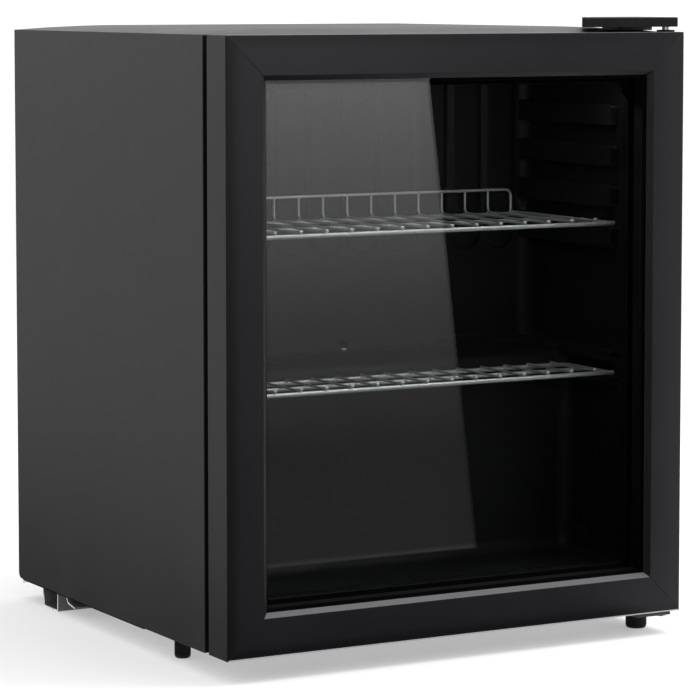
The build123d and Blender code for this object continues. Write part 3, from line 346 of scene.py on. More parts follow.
def make_edge_wear():
    """A mask along convex edges, broken up by noise."""
    tree, given, out = new_group(
        "edge_wear",
        [("Radius", "NodeSocketFloat", 0.0012), ("Amount", "NodeSocketFloat", 0.5)],
        [("Mask", "NodeSocketFloat")],
    )
    soft = tree.nodes.new("ShaderNodeBevel")
    soft.samples = 4
    tree.links.new(given.outputs["Radius"], soft.inputs["Radius"])
    plain_way = tree.nodes.new("ShaderNodeNewGeometry").outputs["True Normal"]
    facing = vector_maths(tree, "DOT_PRODUCT", soft.outputs["Normal"], plain_way)
    edge = spread(tree, facing.outputs["Value"], 0.97, 0.75)
    broken = spread(tree, noise_at(tree, own_place(tree), 180.0, 4.0, 0.6), 0.42, 0.62)
    mask = product(tree, product(tree, edge, broken), given.outputs["Amount"], True)
    tree.links.new(mask, out.inputs["Mask"])


def make_settled_dust():
    """A thin mask of dust on faces that look up."""
    tree, given, out = new_group(
        "settled_dust", [("Amount", "NodeSocketFloat", 0.3)], [("Mask", "NodeSocketFloat")]
    )
    split = tree.nodes.new("ShaderNodeSeparateXYZ")
    tree.links.new(tree.nodes.new("ShaderNodeNewGeometry").outputs["Normal"], split.inputs[0])
    up = spread(tree, split.outputs["Z"], 0.75, 1.0)
    patches = spread(tree, noise_at(tree, own_place(tree), 25.0, 6.0, 0.65), 0.4, 0.75)
    mask = product(tree, product(tree, up, patches), given.outputs["Amount"], True)
    tree.links.new(mask, out.inputs["Mask"])


def make_faces_along():
    """A mask of the faces that look along one of the piece's own ways."""
    tree, given, out = new_group(
        "faces_along",
        [
            ("Axis", "NodeSocketVector", (1.0, 0.0, 0.0)), ("Low", "NodeSocketFloat", 0.7),
            ("High", "NodeSocketFloat", 0.9),
        ],
        [("Mask", "NodeSocketFloat")],
    )
    own_way = tree.nodes.new("ShaderNodeTexCoord").outputs["Normal"]
    along = vector_maths(tree, "DOT_PRODUCT", own_way, given.outputs["Axis"])
    mask = tree.nodes.new("ShaderNodeMapRange")
    tree.links.new(along.outputs["Value"], mask.inputs["Value"])
    tree.links.new(given.outputs["Low"], mask.inputs["From Min"])
    tree.links.new(given.outputs["High"], mask.inputs["From Max"])
    tree.links.new(mask.outputs["Result"], out.inputs["Mask"])


def make_cells():
    """Round cells, for zinc spangle and foam."""
    tree, given, out = new_group(
        "cells",
        [("Cell Scale", "NodeSocketFloat", 120.0)],
        [("Height", "NodeSocketFloat"), ("Tone", "NodeSocketFloat")],
    )
    cell = tree.nodes.new("ShaderNodeTexVoronoi")
    tree.links.new(own_place(tree), cell.inputs["Vector"])
    tree.links.new(given.outputs["Cell Scale"], cell.inputs["Scale"])
    grey = tree.nodes.new("ShaderNodeRGBToBW")
    tree.links.new(cell.outputs["Color"], grey.inputs[0])
    tree.links.new(cell.outputs["Distance"], out.inputs["Height"])
    tree.links.new(grey.outputs[0], out.inputs["Tone"])


# ---------------------------------------------------------------- finishes
def group_node(material, group, **values):
    """Places a shader group in a material with its own values."""
    node = material.node_tree.nodes.new("ShaderNodeGroup")
    node.node_tree = bpy.data.node_groups[group]
    for label, value in values.items():
        node.inputs[label.replace("_", " ")].default_value = value
    return node


def new_finish(name, metallic=0.0, specular=0.5, coat=0.0, coat_roughness=0.1):
    """A material with one Principled shader whose plain values are set on its sockets."""
    material = bpy.data.materials.new(name)
    material.use_nodes = True
    shader = material.node_tree.nodes["Principled BSDF"]
    shader.inputs["Metallic"].default_value = metallic
    shader.inputs["Specular IOR Level"].default_value = specular
    shader.inputs["Coat Weight"].default_value = coat
    shader.inputs["Coat Roughness"].default_value = coat_roughness
    return material, shader


def mix_colour(material, mask, low, high):
    """Mixes two colours, or a colour socket and a colour, by a mask."""
    tree = material.node_tree
    node = tree.nodes.new("ShaderNodeMix")
    node.data_type = "RGBA"
    tree.links.new(mask, node.inputs["Factor"])
    for label, value in (("A", low), ("B", high)):
        socket = [s for s in node.inputs if s.name == label and s.type == "RGBA"][0]
        if isinstance(value, bpy.types.NodeSocket):
            tree.links.new(value, socket)
        else:
            socket.default_value = (*value, 1.0)
    return [s for s in node.outputs if s.type == "RGBA"][0]


def dress(material, shader, colours, tone, roughness, height, depth):
    """Feeds colours, a roughness that follows a tone, and relief into the shader."""
    tree = material.node_tree
    tree.links.new(colours, shader.inputs["Base Color"])
    tree.links.new(spread(tree, tone, 0.0, 1.0, *roughness), shader.inputs["Roughness"])
    bump = tree.nodes.new("ShaderNodeBump")
    bump.inputs["Distance"].default_value = depth
    tree.links.new(height, bump.inputs["Height"])
    tree.links.new(bump.outputs["Normal"], shader.inputs["Normal"])
    return material


def shade(colour, factor):
    """A colour made lighter or darker."""
    return tuple(min(1.0, c * factor) for c in colour)


def painted_finish(
    name, colour, roughness, grain=1500.0, depth=0.02 * MM, wear=0.35, dust=0.0, facing=(), **plain
):
    """Sprayed or moulded finish with orange peel, cloudiness, worn edges and dust.

    Each (axis, low, high, colour) in facing gives the faces along an axis another colour; on the door frame
    these colours are painted shade and painted highlights by face direction.
    """
    material, shader = new_finish(name, **plain)
    texture = group_node(material, "fine_texture", Grain_Scale=grain, Cloud_Scale=14.0)
    colours = mix_colour(material, texture.outputs["Tone"], shade(colour, 0.93), shade(colour, 1.07))
    for axis, low, high, other in facing:
        chosen = group_node(material, "faces_along", Axis=axis, Low=low, High=high)
        second = mix_colour(material, texture.outputs["Tone"], shade(other, 0.93), shade(other, 1.07))
        colours = mix_colour(material, chosen.outputs["Mask"], colours, second)
    colours = mix_colour(material, texture.outputs["Specks"], colours, shade(colour, 1.25))
    if wear > 0:
        edges = group_node(material, "edge_wear", Amount=wear)
        colours = mix_colour(material, edges.outputs["Mask"], colours, shade(colour, 2.2))
    if dust > 0:
        settled = group_node(material, "settled_dust", Amount=dust)
        colours = mix_colour(material, settled.outputs["Mask"], colours, (0.3, 0.29, 0.27))
    rough = (roughness * 0.92, roughness * 1.08)
    return dress(material, shader, colours, texture.outputs["Tone"], rough, texture.outputs["Height"], depth)


def drawn_finish(name, colour, roughness, stretch, grain=300.0, depth=0.01 * MM, **plain):
    """Metal with lines from drawing or rolling."""
    material, shader = new_finish(name, **plain)
    lines = group_node(material, "drawn_grain", Stretch=stretch, Grain_Scale=grain)
    texture = group_node(material, "fine_texture", Grain_Scale=900.0, Cloud_Scale=20.0)
    colours = mix_colour(material, lines.outputs["Tone"], shade(colour, 0.85), shade(colour, 1.12))
    colours = mix_colour(material, texture.outputs["Specks"], colours, shade(colour, 0.7))
    rough = (roughness * 0.85, roughness * 1.2)
    return dress(material, shader, colours, texture.outputs["Tone"], rough, lines.outputs["Height"], depth)


def cell_finish(name, low, high, roughness, scale, depth, **plain):
    """Zinc spangle or foam cells."""
    material, shader = new_finish(name, **plain)
    cell = group_node(material, "cells", Cell_Scale=scale)
    texture = group_node(material, "fine_texture", Grain_Scale=700.0, Cloud_Scale=18.0)
    colours = mix_colour(material, cell.outputs["Tone"], low, high)
    colours = mix_colour(material, texture.outputs["Specks"], colours, shade(low, 0.8))
    rough = (roughness * 0.8, roughness * 1.2)
    return dress(material, shader, colours, cell.outputs["Tone"], rough, cell.outputs["Height"], depth)


def glass_finish(name, ior):
    """Clear float glass that lets light through to what is behind it."""
    material, shader = new_finish(name)
    tree = material.node_tree
    shader.inputs["Transmission Weight"].default_value = 1.0
    shader.inputs["IOR"].default_value = ior
    texture = group_node(material, "fine_texture", Grain_Scale=60.0, Cloud_Scale=9.0)
    tint = mix_colour(material, texture.outputs["Tone"], (0.91, 0.92, 0.915), (0.925, 0.935, 0.93))
    tree.links.new(tint, shader.inputs["Base Color"])
    shader.inputs["Roughness"].default_value = 0.0
    clear = tree.nodes.new("ShaderNodeBsdfTransparent")
    clear.inputs["Color"].default_value = (0.9, 0.92, 0.91, 1.0)
    path = tree.nodes.new("ShaderNodeLightPath")
    choose = tree.nodes.new("ShaderNodeMixShader")
    tree.links.new(path.outputs["Is Shadow Ray"], choose.inputs["Fac"])
    tree.links.new(shader.outputs["BSDF"], choose.inputs[1])
    tree.links.new(clear.outputs["BSDF"], choose.inputs[2])
    tree.links.new(choose.outputs["Shader"], tree.nodes["Material Output"].inputs["Surface"])
    return material


def build_finishes(look):
    """Every finish, by the record's material slot."""
    along_x = (0.03, 1.0, 1.0)
    along_z = (1.0, 1.0, 0.03)
    even = (1.0, 1.0, 1.0)
    black = tuple(look.plastic)
    return {
        "painted_steel": painted_finish(
            "cabinet_paint", tuple(look.paint), 0.5, 1700.0, 0.018 * MM, 0.25, 0.05, specular=0.3
        ),
        "door_frame": painted_finish(
            "door_paint", tuple(look.door_paint), 0.42, 2100.0, 0.01 * MM, 0.2, 0.02,
            # painted light by face direction: every face not squarely at the front is painted in shade, the
            # bottom rail's up-facing inner bevel gets a painted highlight, and the side, top and back faces
            # take the lighter cabinet colour as painted lit faces
            (
                ((0.0, -1.0, 0.0), 0.997, 0.99, shade(tuple(look.door_paint), 0.55)),
                ((0.0, 0.0, 1.0), 0.5, 0.6, (0.068, 0.068, 0.072)),
                ((0.0, -1.0, 0.0), 0.3, 0.1, tuple(look.paint)),
            ),
            specular=0.2
        ),
        "black_liner": painted_finish(
            "liner_sheet", tuple(look.liner), 0.42, 2600.0, 0.004 * MM, 0.0, 0.0, specular=0.14
        ),
        "foam": cell_finish("rigid_foam", (0.62, 0.5, 0.25), (0.74, 0.63, 0.36), 0.9, 900.0, 0.2 * MM),
        "galvanised_sheet": cell_finish(
            "galvanised_sheet", (0.36, 0.37, 0.38), (0.52, 0.53, 0.54), 0.38, 110.0, 0.01 * MM, metallic=1.0
        ),
        "rail_zinc": painted_finish(
            "rail_zinc", (0.09, 0.09, 0.092), 0.4, 400.0, 0.01 * MM, 0.9, 0.0,
            tuple(((side, 0.0, 0.0), 0.7, 0.9, (0.75, 0.75, 0.74)) for side in (-1.0, 1.0)), specular=0.4
        ),
        "black_spacer": drawn_finish("black_spacer", (0.006, 0.006, 0.006), 0.5, along_x, specular=0.2),
        # light grey of the lower edge strip: a painted highlight
        "painted_edge_highlight": painted_finish("painted_edge_highlight", (0.3, 0.3, 0.31), 0.4, 900.0, 0.01 * MM, 0.0, 0.0),
        "aluminium_sheet": drawn_finish("rolled_aluminium", (0.68, 0.69, 0.7), 0.32, along_x, metallic=1.0),
        "aluminium_tube": drawn_finish("aluminium_tube", (0.7, 0.71, 0.72), 0.3, along_x, metallic=1.0),
        "black_compressor": painted_finish(
            "compressor_enamel", (0.009, 0.009, 0.01), 0.22, 500.0, 0.05 * MM, 0.35, 0.12, coat=0.4
        ),
        # very dark rubber: partly the rubber's own colour, partly painted shade that keeps the door gap and
        # the gap shadow band dark
        "rubber": painted_finish(
            "black_rubber_and_gap_shade", (0.003, 0.003, 0.003), 0.85, 1300.0, 0.03 * MM, 0.0, 0.0, specular=0.06
        ),
        "zinc_fasteners": drawn_finish("zinc_plate", (0.55, 0.54, 0.5), 0.3, even, 900.0, metallic=1.0),
        "black_plastic": painted_finish(
            "moulded_plastic", black, 0.48, 2300.0, 0.02 * MM, 0.15, 0.02, specular=0.15
        ),
        "black_coil": painted_finish("dipped_steel", (0.012, 0.012, 0.012), 0.4, 700.0, 0.05 * MM, 0.0, 0.1),
        "copper": drawn_finish("copper_tube", (0.72, 0.36, 0.22), 0.28, along_z, metallic=1.0),
        "grey_plastic": painted_finish("grey_moulding", (0.2, 0.205, 0.21), 0.5, 1900.0, 0.03 * MM, 0.0, 0.1),
        "hinge_steel": painted_finish(
            "hinge_paint", (0.012, 0.012, 0.0125), 0.4, 1500.0, 0.02 * MM, 0.5, 0.03
        ),
        "glass": glass_finish("outer_pane_glass", 1.5),
        "inner_glass": glass_finish("inner_pane_glass", 1.12),
        "magnet": painted_finish("magnetic_strip", (0.05, 0.045, 0.045), 0.6, 1200.0, 0.03 * MM, 0.0),
        "wire_chrome": drawn_finish("shelf_wire", tuple(look.wire), 0.34, even, 1200.0, metallic=0.6),
        "dial_mark": painted_finish("dial_mark", (0.7, 0.7, 0.68), 0.5, 1900.0, 0.02 * MM, 0.0),
    }


FINISHES = {}
OWN_FINISH = {
    "inner_glass": "inner_glass",
    "glass_spacer": "black_spacer",
    "drain_tube": "black_plastic",
    "rear_rail": "rail_zinc",
}


# ---------------------------------------------------------------- pieces
class MERCHANDISER_OT_finishes(bpy.types.Operator):
    """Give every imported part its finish"""

    bl_idname = "merchandiser.finishes"
    bl_label = "Finishes"

    def execute(self, context):
        makers = (make_fine_texture, make_drawn_grain, make_edge_wear, make_settled_dust)
        for make in makers + (make_faces_along, make_cells):
            make()
        FINISHES.update(build_finishes(context.scene.merchandiser_look))
        for row in frame["record"]["subparts"]:
            node = frame["nodes"][row["node"]]
            material = FINISHES[OWN_FINISH.get(row["node"], row["material_slot"])]
            node.data.materials.clear()
            node.data.materials.append(material)
        return {"FINISHED"}


class MERCHANDISER_OT_door_frame(bpy.types.Operator):
    """Build the four mitred frame members with eased edges, and a light strip along the lower edge as a
    painted highlight
    """

    bl_idname = "merchandiser.door_frame"
    bl_label = "Door frame"

    def execute(self, context):
        radius = context.scene.merchandiser_look.frame_radius
        for node in ("top_rail", "bottom_rail", "left_stile", "right_stile"):
            eased(node, "door_" + node, radius, "door_frame")

        # light strip along the bottom rail's lower edge: a painted highlight, the floor's reflection in that
        # edge
        low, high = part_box("bottom_rail")
        inset = 1.0 * MM
        bevel_rise = 2.2 * MM
        proud = 0.35 * MM
        sunk = 0.5 * MM
        foot = 0.1 * MM
        strip_height = 1.1 * MM
        front = low.y + bevel_rise
        strip_low = (low.x + inset, front - proud, low.z + foot)
        strip_high = (high.x - inset, front + sunk, low.z + foot + strip_height)
        strip = bevelled_bar(strip_low, strip_high, 0.2 * MM)
        shape_piece("lower_edge_highlight_strip", strip, "door", "door_frame", finish="painted_edge_highlight")
        return {"FINISHED"}


class MERCHANDISER_OT_gasket(bpy.types.Operator):
    """Build the door gasket with its bellows and magnet pocket"""

    bl_idname = "merchandiser.gasket"
    bl_label = "Door gasket"

    def execute(self, context):
        low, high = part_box("door_seal")
        half = 7.0 * MM
        depth = high.y - low.y
        # (share of the half width, share of the depth) round the section
        section = [
            (-1.0, 0.0), (1.0, 0.0), (1.0, 0.09), (0.74, 0.15), (0.72, 0.22), (0.95, 0.31), (0.97, 0.38),
            (0.97, 0.88), (0.9, 0.97), (0.8, 1.0), (-0.8, 1.0), (-0.9, 0.97), (-0.97, 0.88), (-0.97, 0.38),
            (-0.95, 0.31), (-0.72, 0.22), (-0.74, 0.15), (-1.0, 0.09),
        ]
        middle_low = (low.x + half, low.z + half)
        middle_high = (high.x - half, high.z - half)
        points = []
        path = ring_path(middle_low, middle_high, 7.6 * MM, 8)
        for x, z, out in path:
            for across, deep in section:
                points.append((x + out[0] * across * half, low.y + deep * depth, z + out[1] * across * half))
        faces = sheet_faces(len(path), len(section), True, True)
        gasket = shape_piece("door_gasket", (points, faces), "door", "rubber", 30.0)
        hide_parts("door_seal")
        return {"FINISHED"}


class MERCHANDISER_OT_cabinet(bpy.types.Operator):
    """Ease the edges of the skin, rail, hinges and mouldings, and add the painted gap shadow band and base
    seals
    """

    bl_idname = "merchandiser.cabinet"
    bl_label = "Cabinet"

    def execute(self, context):
        look = context.scene.merchandiser_look
        sheet = look.sheet_radius
        rows = [
            ("outer_shell", "cabinet_skin", sheet, "painted_steel"),
            ("rear_rail", "pressed_rear_rail", sheet, "galvanised_sheet"),
            ("hinge_cover", "hinge_cap", sheet, "black_plastic"),
            ("upper_hinge_plate", "folded_hinge_plate", sheet, "hinge_steel"),
            ("lower_hinge_bracket", "folded_hinge_bracket", sheet, "hinge_steel"),
            ("control_bracket", "folded_control_bracket", sheet, "galvanised_sheet"),
            ("relay_cover", "relay_cap", 0.6 * MM, "black_plastic"),
            ("thermostat_body", "thermostat_case", 0.5 * MM, "black_plastic"),
            ("door_backing_frame", "door_inner_frame", 0.6 * MM, "black_plastic"),
            ("compressor_foot_plate", "compressor_feet", 0.4 * MM, "galvanised_sheet"),
        ]
        for node, name, radius, slot in rows:
            eased(node, name, radius, slot)

        # black band on the front of the skin, outside the door seal: painted shadow that keeps the gap
        # between door and cabinet dark
        low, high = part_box("outer_shell")
        high.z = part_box("top_rail")[1].z
        seal_low, seal_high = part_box("door_seal")
        proud = 0.06 * MM
        inset = 0.7 * MM
        front = low.y
        spans = [
            ((low.x + inset, low.z + inset), (seal_low.x, high.z - inset)),
            ((seal_high.x, low.z + inset), (high.x - inset, high.z - inset)),
            ((seal_low.x, low.z + inset), (seal_high.x, seal_low.z)),
            ((seal_low.x, seal_high.z), (seal_high.x, high.z - inset)),
        ]
        bars = [
            bevelled_bar((a[0], front - proud, a[1]), (b[0], front, b[1]), 0.2 * proud) for a, b in spans
        ]
        shape_piece("gap_shadow_band", joined(bars), "cabinet", "rubber")

        # foam strips that close the slots between the base plate and the skin
        plate_low, plate_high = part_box("base_plate")
        skin_inside = high.x - 1.2 * MM
        bars = []
        for side in (-1, 1):
            x_low, x_high = sorted((side * plate_high.x, side * skin_inside))
            start = (x_low, plate_low.y, plate_low.z)
            bars.append(bevelled_bar(start, (x_high, plate_high.y, plate_high.z), 0.3 * MM))
        shape_piece("base_side_seals", joined(bars), "cabinet", "rubber")
        return {"FINISHED"}


class MERCHANDISER_OT_liner(bpy.types.Operator):
    """Build the moulded liner with soft ribs, its fluted rear wall and the floor's front bead, light grey as
    a painted highlight
    """

    bl_idname = "merchandiser.liner"
    bl_label = "Liner"

    def execute(self, context):
        look = context.scene.merchandiser_look
        eased("inner_liner", "moulded_liner", look.liner_radius, "black_liner", 35.0)
        flutes = 10
        middle_flute = (flutes - 1) / 2
        pitch = 34.7 * MM
        flat_reach = 12.6 * MM
        side_run = 4.2 * MM
        fade_gap = 0.4 * MM
        fade_run = 4.6 * MM
        wall_y = -6.4 * MM
        flute_foot = 332.0 * MM
        wall_top = 469.5 * MM
        corner = 12.0 * MM
        half = 174.0 * MM
        low_z = 308.0 * MM
        high_z = 475.5 * MM
        step = 1.5 * MM
        columns = int(round(2 * half / step))
        rows = int(round((high_z - low_z) / step))
        points = []
        for row in range(rows + 1):
            z = low_z + (high_z - low_z) * row / rows
            for column in range(columns + 1):
                x = -half + 2 * half * column / columns
                nearest = min(range(flutes), key=lambda n: abs(x - (n - middle_flute) * pitch))
                across = x - (nearest - middle_flute) * pitch
                reach = math.hypot(across, min(0.0, z - flute_foot))
                slope = min(1.0, max(0.0, (reach - flat_reach) / side_run))
                rise = 1.0 - slope * slope * (3.0 - 2.0 * slope)
                over = max(0.0, z - wall_top)
                fade = min(1.0, max(0.0, (z - wall_top - fade_gap) / fade_run))
                rise *= 1.0 - fade * fade * (3.0 - 2.0 * fade)
                lean = corner - math.sqrt(corner * corner - over * over)
                border = row in (0, rows) or column in (0, columns)
                skin = 0.05 * MM if border else 0.2 * MM
                points.append((x, wall_y - skin - lean - look.flute_depth * rise, z))
        mesh = bpy.data.meshes.new("fluted_rear_wall")
        mesh.from_pydata(points, [], sheet_faces(rows + 1, columns + 1))
        finish_object("fluted_rear_wall", mesh, "cabinet", "black_liner", 60.0)

        # thin bead along the front of the cavity's floor; its light grey is a painted highlight along the
        # bead's edge
        floor_z = 56.5 * MM
        bead_left = -149.0 * MM
        bead_right = 139.0 * MM
        bead_front = -166.1 * MM
        bead_back = -164.9 * MM
        bead_low = (bead_left, bead_front, floor_z - 0.2 * MM)
        bead_high = (bead_right, bead_back, floor_z + 0.7 * MM)
        shape_piece("floor_bead", bevelled_bar(bead_low, bead_high, 0.3 * MM), "cabinet", "grey_plastic")
        return {"FINISHED"}


class MERCHANDISER_OT_shelf_welds(bpy.types.Operator):
    """Add the weld beads where the shelf wires cross"""

    bl_idname = "merchandiser.shelf_welds"
    bl_label = "Shelf welds"

    def execute(self, context):
        look = context.scene.merchandiser_look
        pitch = 23.7 * MM
        side_wires = 7
        front_half = 1.9 * MM
        back_half = 2.0 * MM
        crossing_height = 4.55 * MM
        front_offset = 0.4 * MM
        flat = Vector((1.15, 1.0, 0.85))
        for shelf in ("upper_shelf", "lower_shelf"):
            low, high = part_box(shelf)
            front = low.y + front_half
            back = high.y - back_half
            stay = (front + back) / 2
            wire_z = low.z + crossing_height
            # place in depth, lift in millimetres and share of the bead's radius
            rows = ((front - front_offset, 1.1, 1.1), (stay, -0.6, 0.7), (back, -0.6, 0.75))
            work = bmesh.new()
            for n in range(-side_wires, side_wires + 1):
                for y, lift, size in rows:
                    centre = Vector((n * pitch, y, wire_z + lift * MM))
                    made = bmesh.ops.create_icosphere(
                        work, subdivisions=3, radius=look.bead_size * size, matrix=Matrix.Translation(centre)
                    )
                    for vert in made["verts"]:
                        away = vert.co - centre
                        rough = 1.0 + 0.16 * noise.noise(vert.co * 900.0)
                        vert.co = centre + Vector(a * b * rough for a, b in zip(away, flat))
            name = shelf + "_welds"
            finish_object(name, mesh_of(name, work), shelf, "wire_chrome", 80.0)
        return {"FINISHED"}


def cross_head():
    """One pan head with a cross recess, seated at the origin and facing +Z, as a mesh."""
    profile = [(4.0, 0.0), (4.0, 0.5), (3.85, 1.0), (3.4, 1.5), (2.7, 1.85), (1.6, 2.08), (0.6, 2.16)]
    points, faces = turned([(r * MM, h * MM) for r, h in profile], (0.0, 0.0, 0.0), 40)
    head = mesh_from("screw_head", points, faces)
    work = bmesh.new()
    for wide, long in ((0.55, 2.3), (2.3, 0.55)):
        made = bmesh.ops.create_cube(work, size=1.0, matrix=Matrix.Translation((0, 0, 2.0 * MM)))
        for vert in made["verts"]:
            taper = 1.0 if vert.co.z > 0.002 else 0.55
            vert.co.x = math.copysign(wide * MM * taper, vert.co.x)
            vert.co.y = math.copysign(long * MM * taper, vert.co.y)
            vert.co.z = 3.0 * MM if vert.co.z > 0.002 else 0.7 * MM
    body = linked("screw_head", head)
    cutter = linked("screw_cross", mesh_of("screw_cross", work))
    cut = body.modifiers.new("cross", "BOOLEAN")
    cut.operation = "DIFFERENCE"
    cut.solver = "EXACT"
    cut.use_self = True
    cut.object = cutter
    bpy.context.view_layer.update()
    result = bpy.data.meshes.new_from_object(body.evaluated_get(bpy.context.evaluated_depsgraph_get()))
    for item in (body, cutter):
        bpy.data.objects.remove(item)
    return result


class MERCHANDISER_OT_screws(bpy.types.Operator):
    """Build cross-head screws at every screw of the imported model"""

    bl_idname = "merchandiser.screws"
    bl_label = "Screws"

    def execute(self, context):
        head = cross_head()
        ways = {
            "upper_hinge_screws": Vector((0, 0, 1)),
            "lower_hinge_screws": Vector((0, 0, -1)),
            "rear_panel_screws": Vector((0, 1, 0)),
            "base_plate_screws": Vector((0, 0, -1)),
        }
        for node, way in ways.items():
            turn = way.to_track_quat("Z", "Y").to_matrix().to_4x4()
            work = bmesh.new()
            for number, (seat, tail) in enumerate(screw_places(node, way)):
                spin = Matrix.Rotation(0.7 + 1.9 * number, 4, "Z")
                piece = bmesh.new()
                piece.from_mesh(head)
                shank, sides = turned([(1.9 * MM, -tail), (1.9 * MM, 0.0)], (0.0, 0.0, 0.0), 16)
                spare = mesh_from("shank", shank, sides)
                piece.from_mesh(spare)
                bmesh.ops.transform(piece, matrix=Matrix.Translation(seat) @ turn @ spin, verts=piece.verts)
                placed = mesh_of("placed", piece)
                work.from_mesh(placed)
                bpy.data.meshes.remove(placed)
                bpy.data.meshes.remove(spare)
            name = node.replace("screws", "cross_heads")
            made = finish_object(name, mesh_of(name, work), "cabinet", "zinc_fasteners", 35.0)
            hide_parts(node)
        return {"FINISHED"}


def screw_places(node, way):
    """Seat and shank length of each screw in a node, found from its separate solids."""
    work = bmesh.new()
    work.from_mesh(frame["nodes"][node].data)
    bmesh.ops.remove_doubles(work, verts=work.verts, dist=0.01 * MM)
    head_height = 2.2 * MM
    left = set(work.verts)
    found = []
    while left:
        group = {left.pop()}
        edge = list(group)
        while edge:
            for link in edge.pop().link_edges:
                for vert in link.verts:
                    if vert in left:
                        left.discard(vert)
                        group.add(vert)
                        edge.append(vert)
        spots = [v.co.copy() for v in group]
        low = Vector(min(s[i] for s in spots) for i in range(3))
        high = Vector(max(s[i] for s in spots) for i in range(3))
        middle = (low + high) / 2
        along = sorted(s.dot(way) for s in spots)
        under_head = along[-1] - head_height
        seat = middle + way * (under_head - middle.dot(way))
        found.append((seat, under_head - along[0]))
    work.free()
    return sorted(found, key=lambda item: tuple(round(c, 5) for c in item[0]))


class MERCHANDISER_OT_feet(bpy.types.Operator):
    """Build the two levelling feet with ribbed pads and threaded stems"""

    bl_idname = "merchandiser.feet"
    bl_label = "Levelling feet"

    def execute(self, context):
        rows = [("front_left_foot", 15.5, 24), ("front_right_foot", 12.0, 30)]
        for node, pad_height, ribs in rows:
            low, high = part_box(node)
            radius = (high.x - low.x) / 2
            place = ((low.x + high.x) / 2, (low.y + high.y) / 2, 0.0)
            pad = pad_height * MM

            def grip(turn, height, size, ribs=ribs, pad=pad, radius=radius):
                inside = 3.2 * MM < height < pad - 1.2 * MM and size > 0.9 * radius
                return -0.45 * MM * (0.5 - 0.5 * math.cos(ribs * turn)) if inside else 0.0

            heights = (3.0 * MM, 3.3 * MM, pad - 1.3 * MM, pad - 1.0 * MM)
            sides = [(radius, height) for height in heights]
            profile = [(radius - 2.4 * MM, 0.0), (radius - 1.2 * MM, 0.35 * MM)]
            profile += [(radius - 0.3 * MM, 1.4 * MM)]
            profile += sides + [(radius - 0.8 * MM, pad), (3.1 * MM, pad)]
            body = turned(profile, place, ribs * 8, grip)

            def thread(turn, height, size):
                return -0.3 * MM * (0.5 + 0.5 * math.cos(2 * math.pi * height / MM - turn))

            count = int((high.z - pad) / (0.16 * MM))
            start = pad - 0.2 * MM
            length = high.z - pad + 0.2 * MM
            stem_rows = [(2.98 * MM, start + length * n / count) for n in range(count + 1)]
            stem = turned(stem_rows, place, 32, thread)
            made = shape_piece("levelling_" + node, joined([body, stem]), node, "black_plastic")
            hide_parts(node)
        return {"FINISHED"}


class MERCHANDISER_OT_compressor_details(bpy.types.Operator):
    """Add the compressor's seam weld"""

    bl_idname = "merchandiser.compressor_details"
    bl_label = "Compressor details"

    def execute(self, context):
        low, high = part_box("compressor")
        centre = (low + high) / 2
        belt = low.z + 0.42 * (high.z - low.z) + 3.0 * MM
        radius = (high.x - low.x) / 2 - 2.4 * MM
        points = []
        around = 360
        ring = 10
        for step in range(around):
            turn = 2 * math.pi * step / around
            uneven = 0.12 * noise.noise(Vector((turn * 9, 0, 0)))
            size = 1.5 * MM * (1.0 + 0.16 * math.sin(turn * 95.0) + uneven)
            for n in range(ring):
                lean = 2 * math.pi * n / ring
                reach = radius + size * math.cos(lean)
                points.append((
                    centre.x + reach * math.cos(turn),
                    centre.y + reach * math.sin(turn),
                    belt + size * math.sin(lean),
                ))
        faces = sheet_faces(around, ring, True, True)
        shape_piece("compressor_seam", (points, faces), "cabinet", "black_compressor", 80.0)
        return {"FINISHED"}


class MERCHANDISER_OT_dial(bpy.types.Operator):
    """Build the ribbed thermostat knob and the marks round it"""

    bl_idname = "merchandiser.dial"
    bl_label = "Thermostat dial"

    def execute(self, context):
        low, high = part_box("thermostat_knob")
        centre = Vector(((low.x + high.x) / 2, 0.0, (low.z + high.z) / 2))
        _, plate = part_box("control_bracket")
        radius = (high.x - low.x) / 2
        face = plate.y + 0.4 * MM
        deep = high.y - face

        def ribs(turn, height, size):
            inside = 1.5 * MM < height < deep - 2.2 * MM and size > 0.9 * radius
            return -0.55 * MM * (0.5 - 0.5 * math.cos(28 * turn)) if inside else 0.0

        profile = [
            (radius - 0.6 * MM, 0.0), (radius, 0.6 * MM), (radius, 1.6 * MM), (radius, deep - 2.6 * MM),
            (radius - 0.2 * MM, deep - 1.8 * MM), (radius - 1.4 * MM, deep - 1.05 * MM),
            (radius - 3.0 * MM, deep - 1.25 * MM), (2.0 * MM, deep - 1.3 * MM),
        ]
        cap = turned(profile, (0.0, 0.0, 0.0), 224, ribs)
        shaft = turned([(2.98 * MM, -8.4 * MM), (2.98 * MM, 0.5 * MM)], (0.0, 0.0, 0.0), 32)
        pointer_foot = (-0.8 * MM, 2.5 * MM, deep - 1.5 * MM)
        pointer = bevelled_bar(pointer_foot, (0.8 * MM, radius - 2.0 * MM, deep), 0.3 * MM)
        # the shape is turned about +Z and then laid over, so that it faces +Y with its pointer up
        points, faces = joined([cap, shaft, pointer])
        laid = [(centre.x - p[0], face + p[2], centre.z + p[1]) for p in points]
        made = shape_piece("ribbed_knob", (laid, faces), "thermostat_knob", "black_plastic", 35.0)
        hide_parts("thermostat_knob")
        marks = []
        half_mark = 0.45 * MM
        mark_foot = radius + 2.0 * MM
        for n in range(7):
            turn = math.radians(30.0 + 40.0 * n - 150.0)
            long = (1.4 + 0.3 * n) * MM
            mark_low = (-half_mark, mark_foot, -0.05 * MM)
            bar = bevelled_bar(mark_low, (half_mark, mark_foot + long, 0.22 * MM), 0.1 * MM)
            spun = []
            for x, z, y in bar[0]:
                spun.append((
                    centre.x + x * math.cos(turn) - z * math.sin(turn),
                    plate.y + y,
                    centre.z + x * math.sin(turn) + z * math.cos(turn),
                ))
            marks.append((spun, bar[1]))
        shape_piece("dial_marks", joined(marks), "cabinet", "black_plastic", 30.0, "dial_mark")
        return {"FINISHED"}


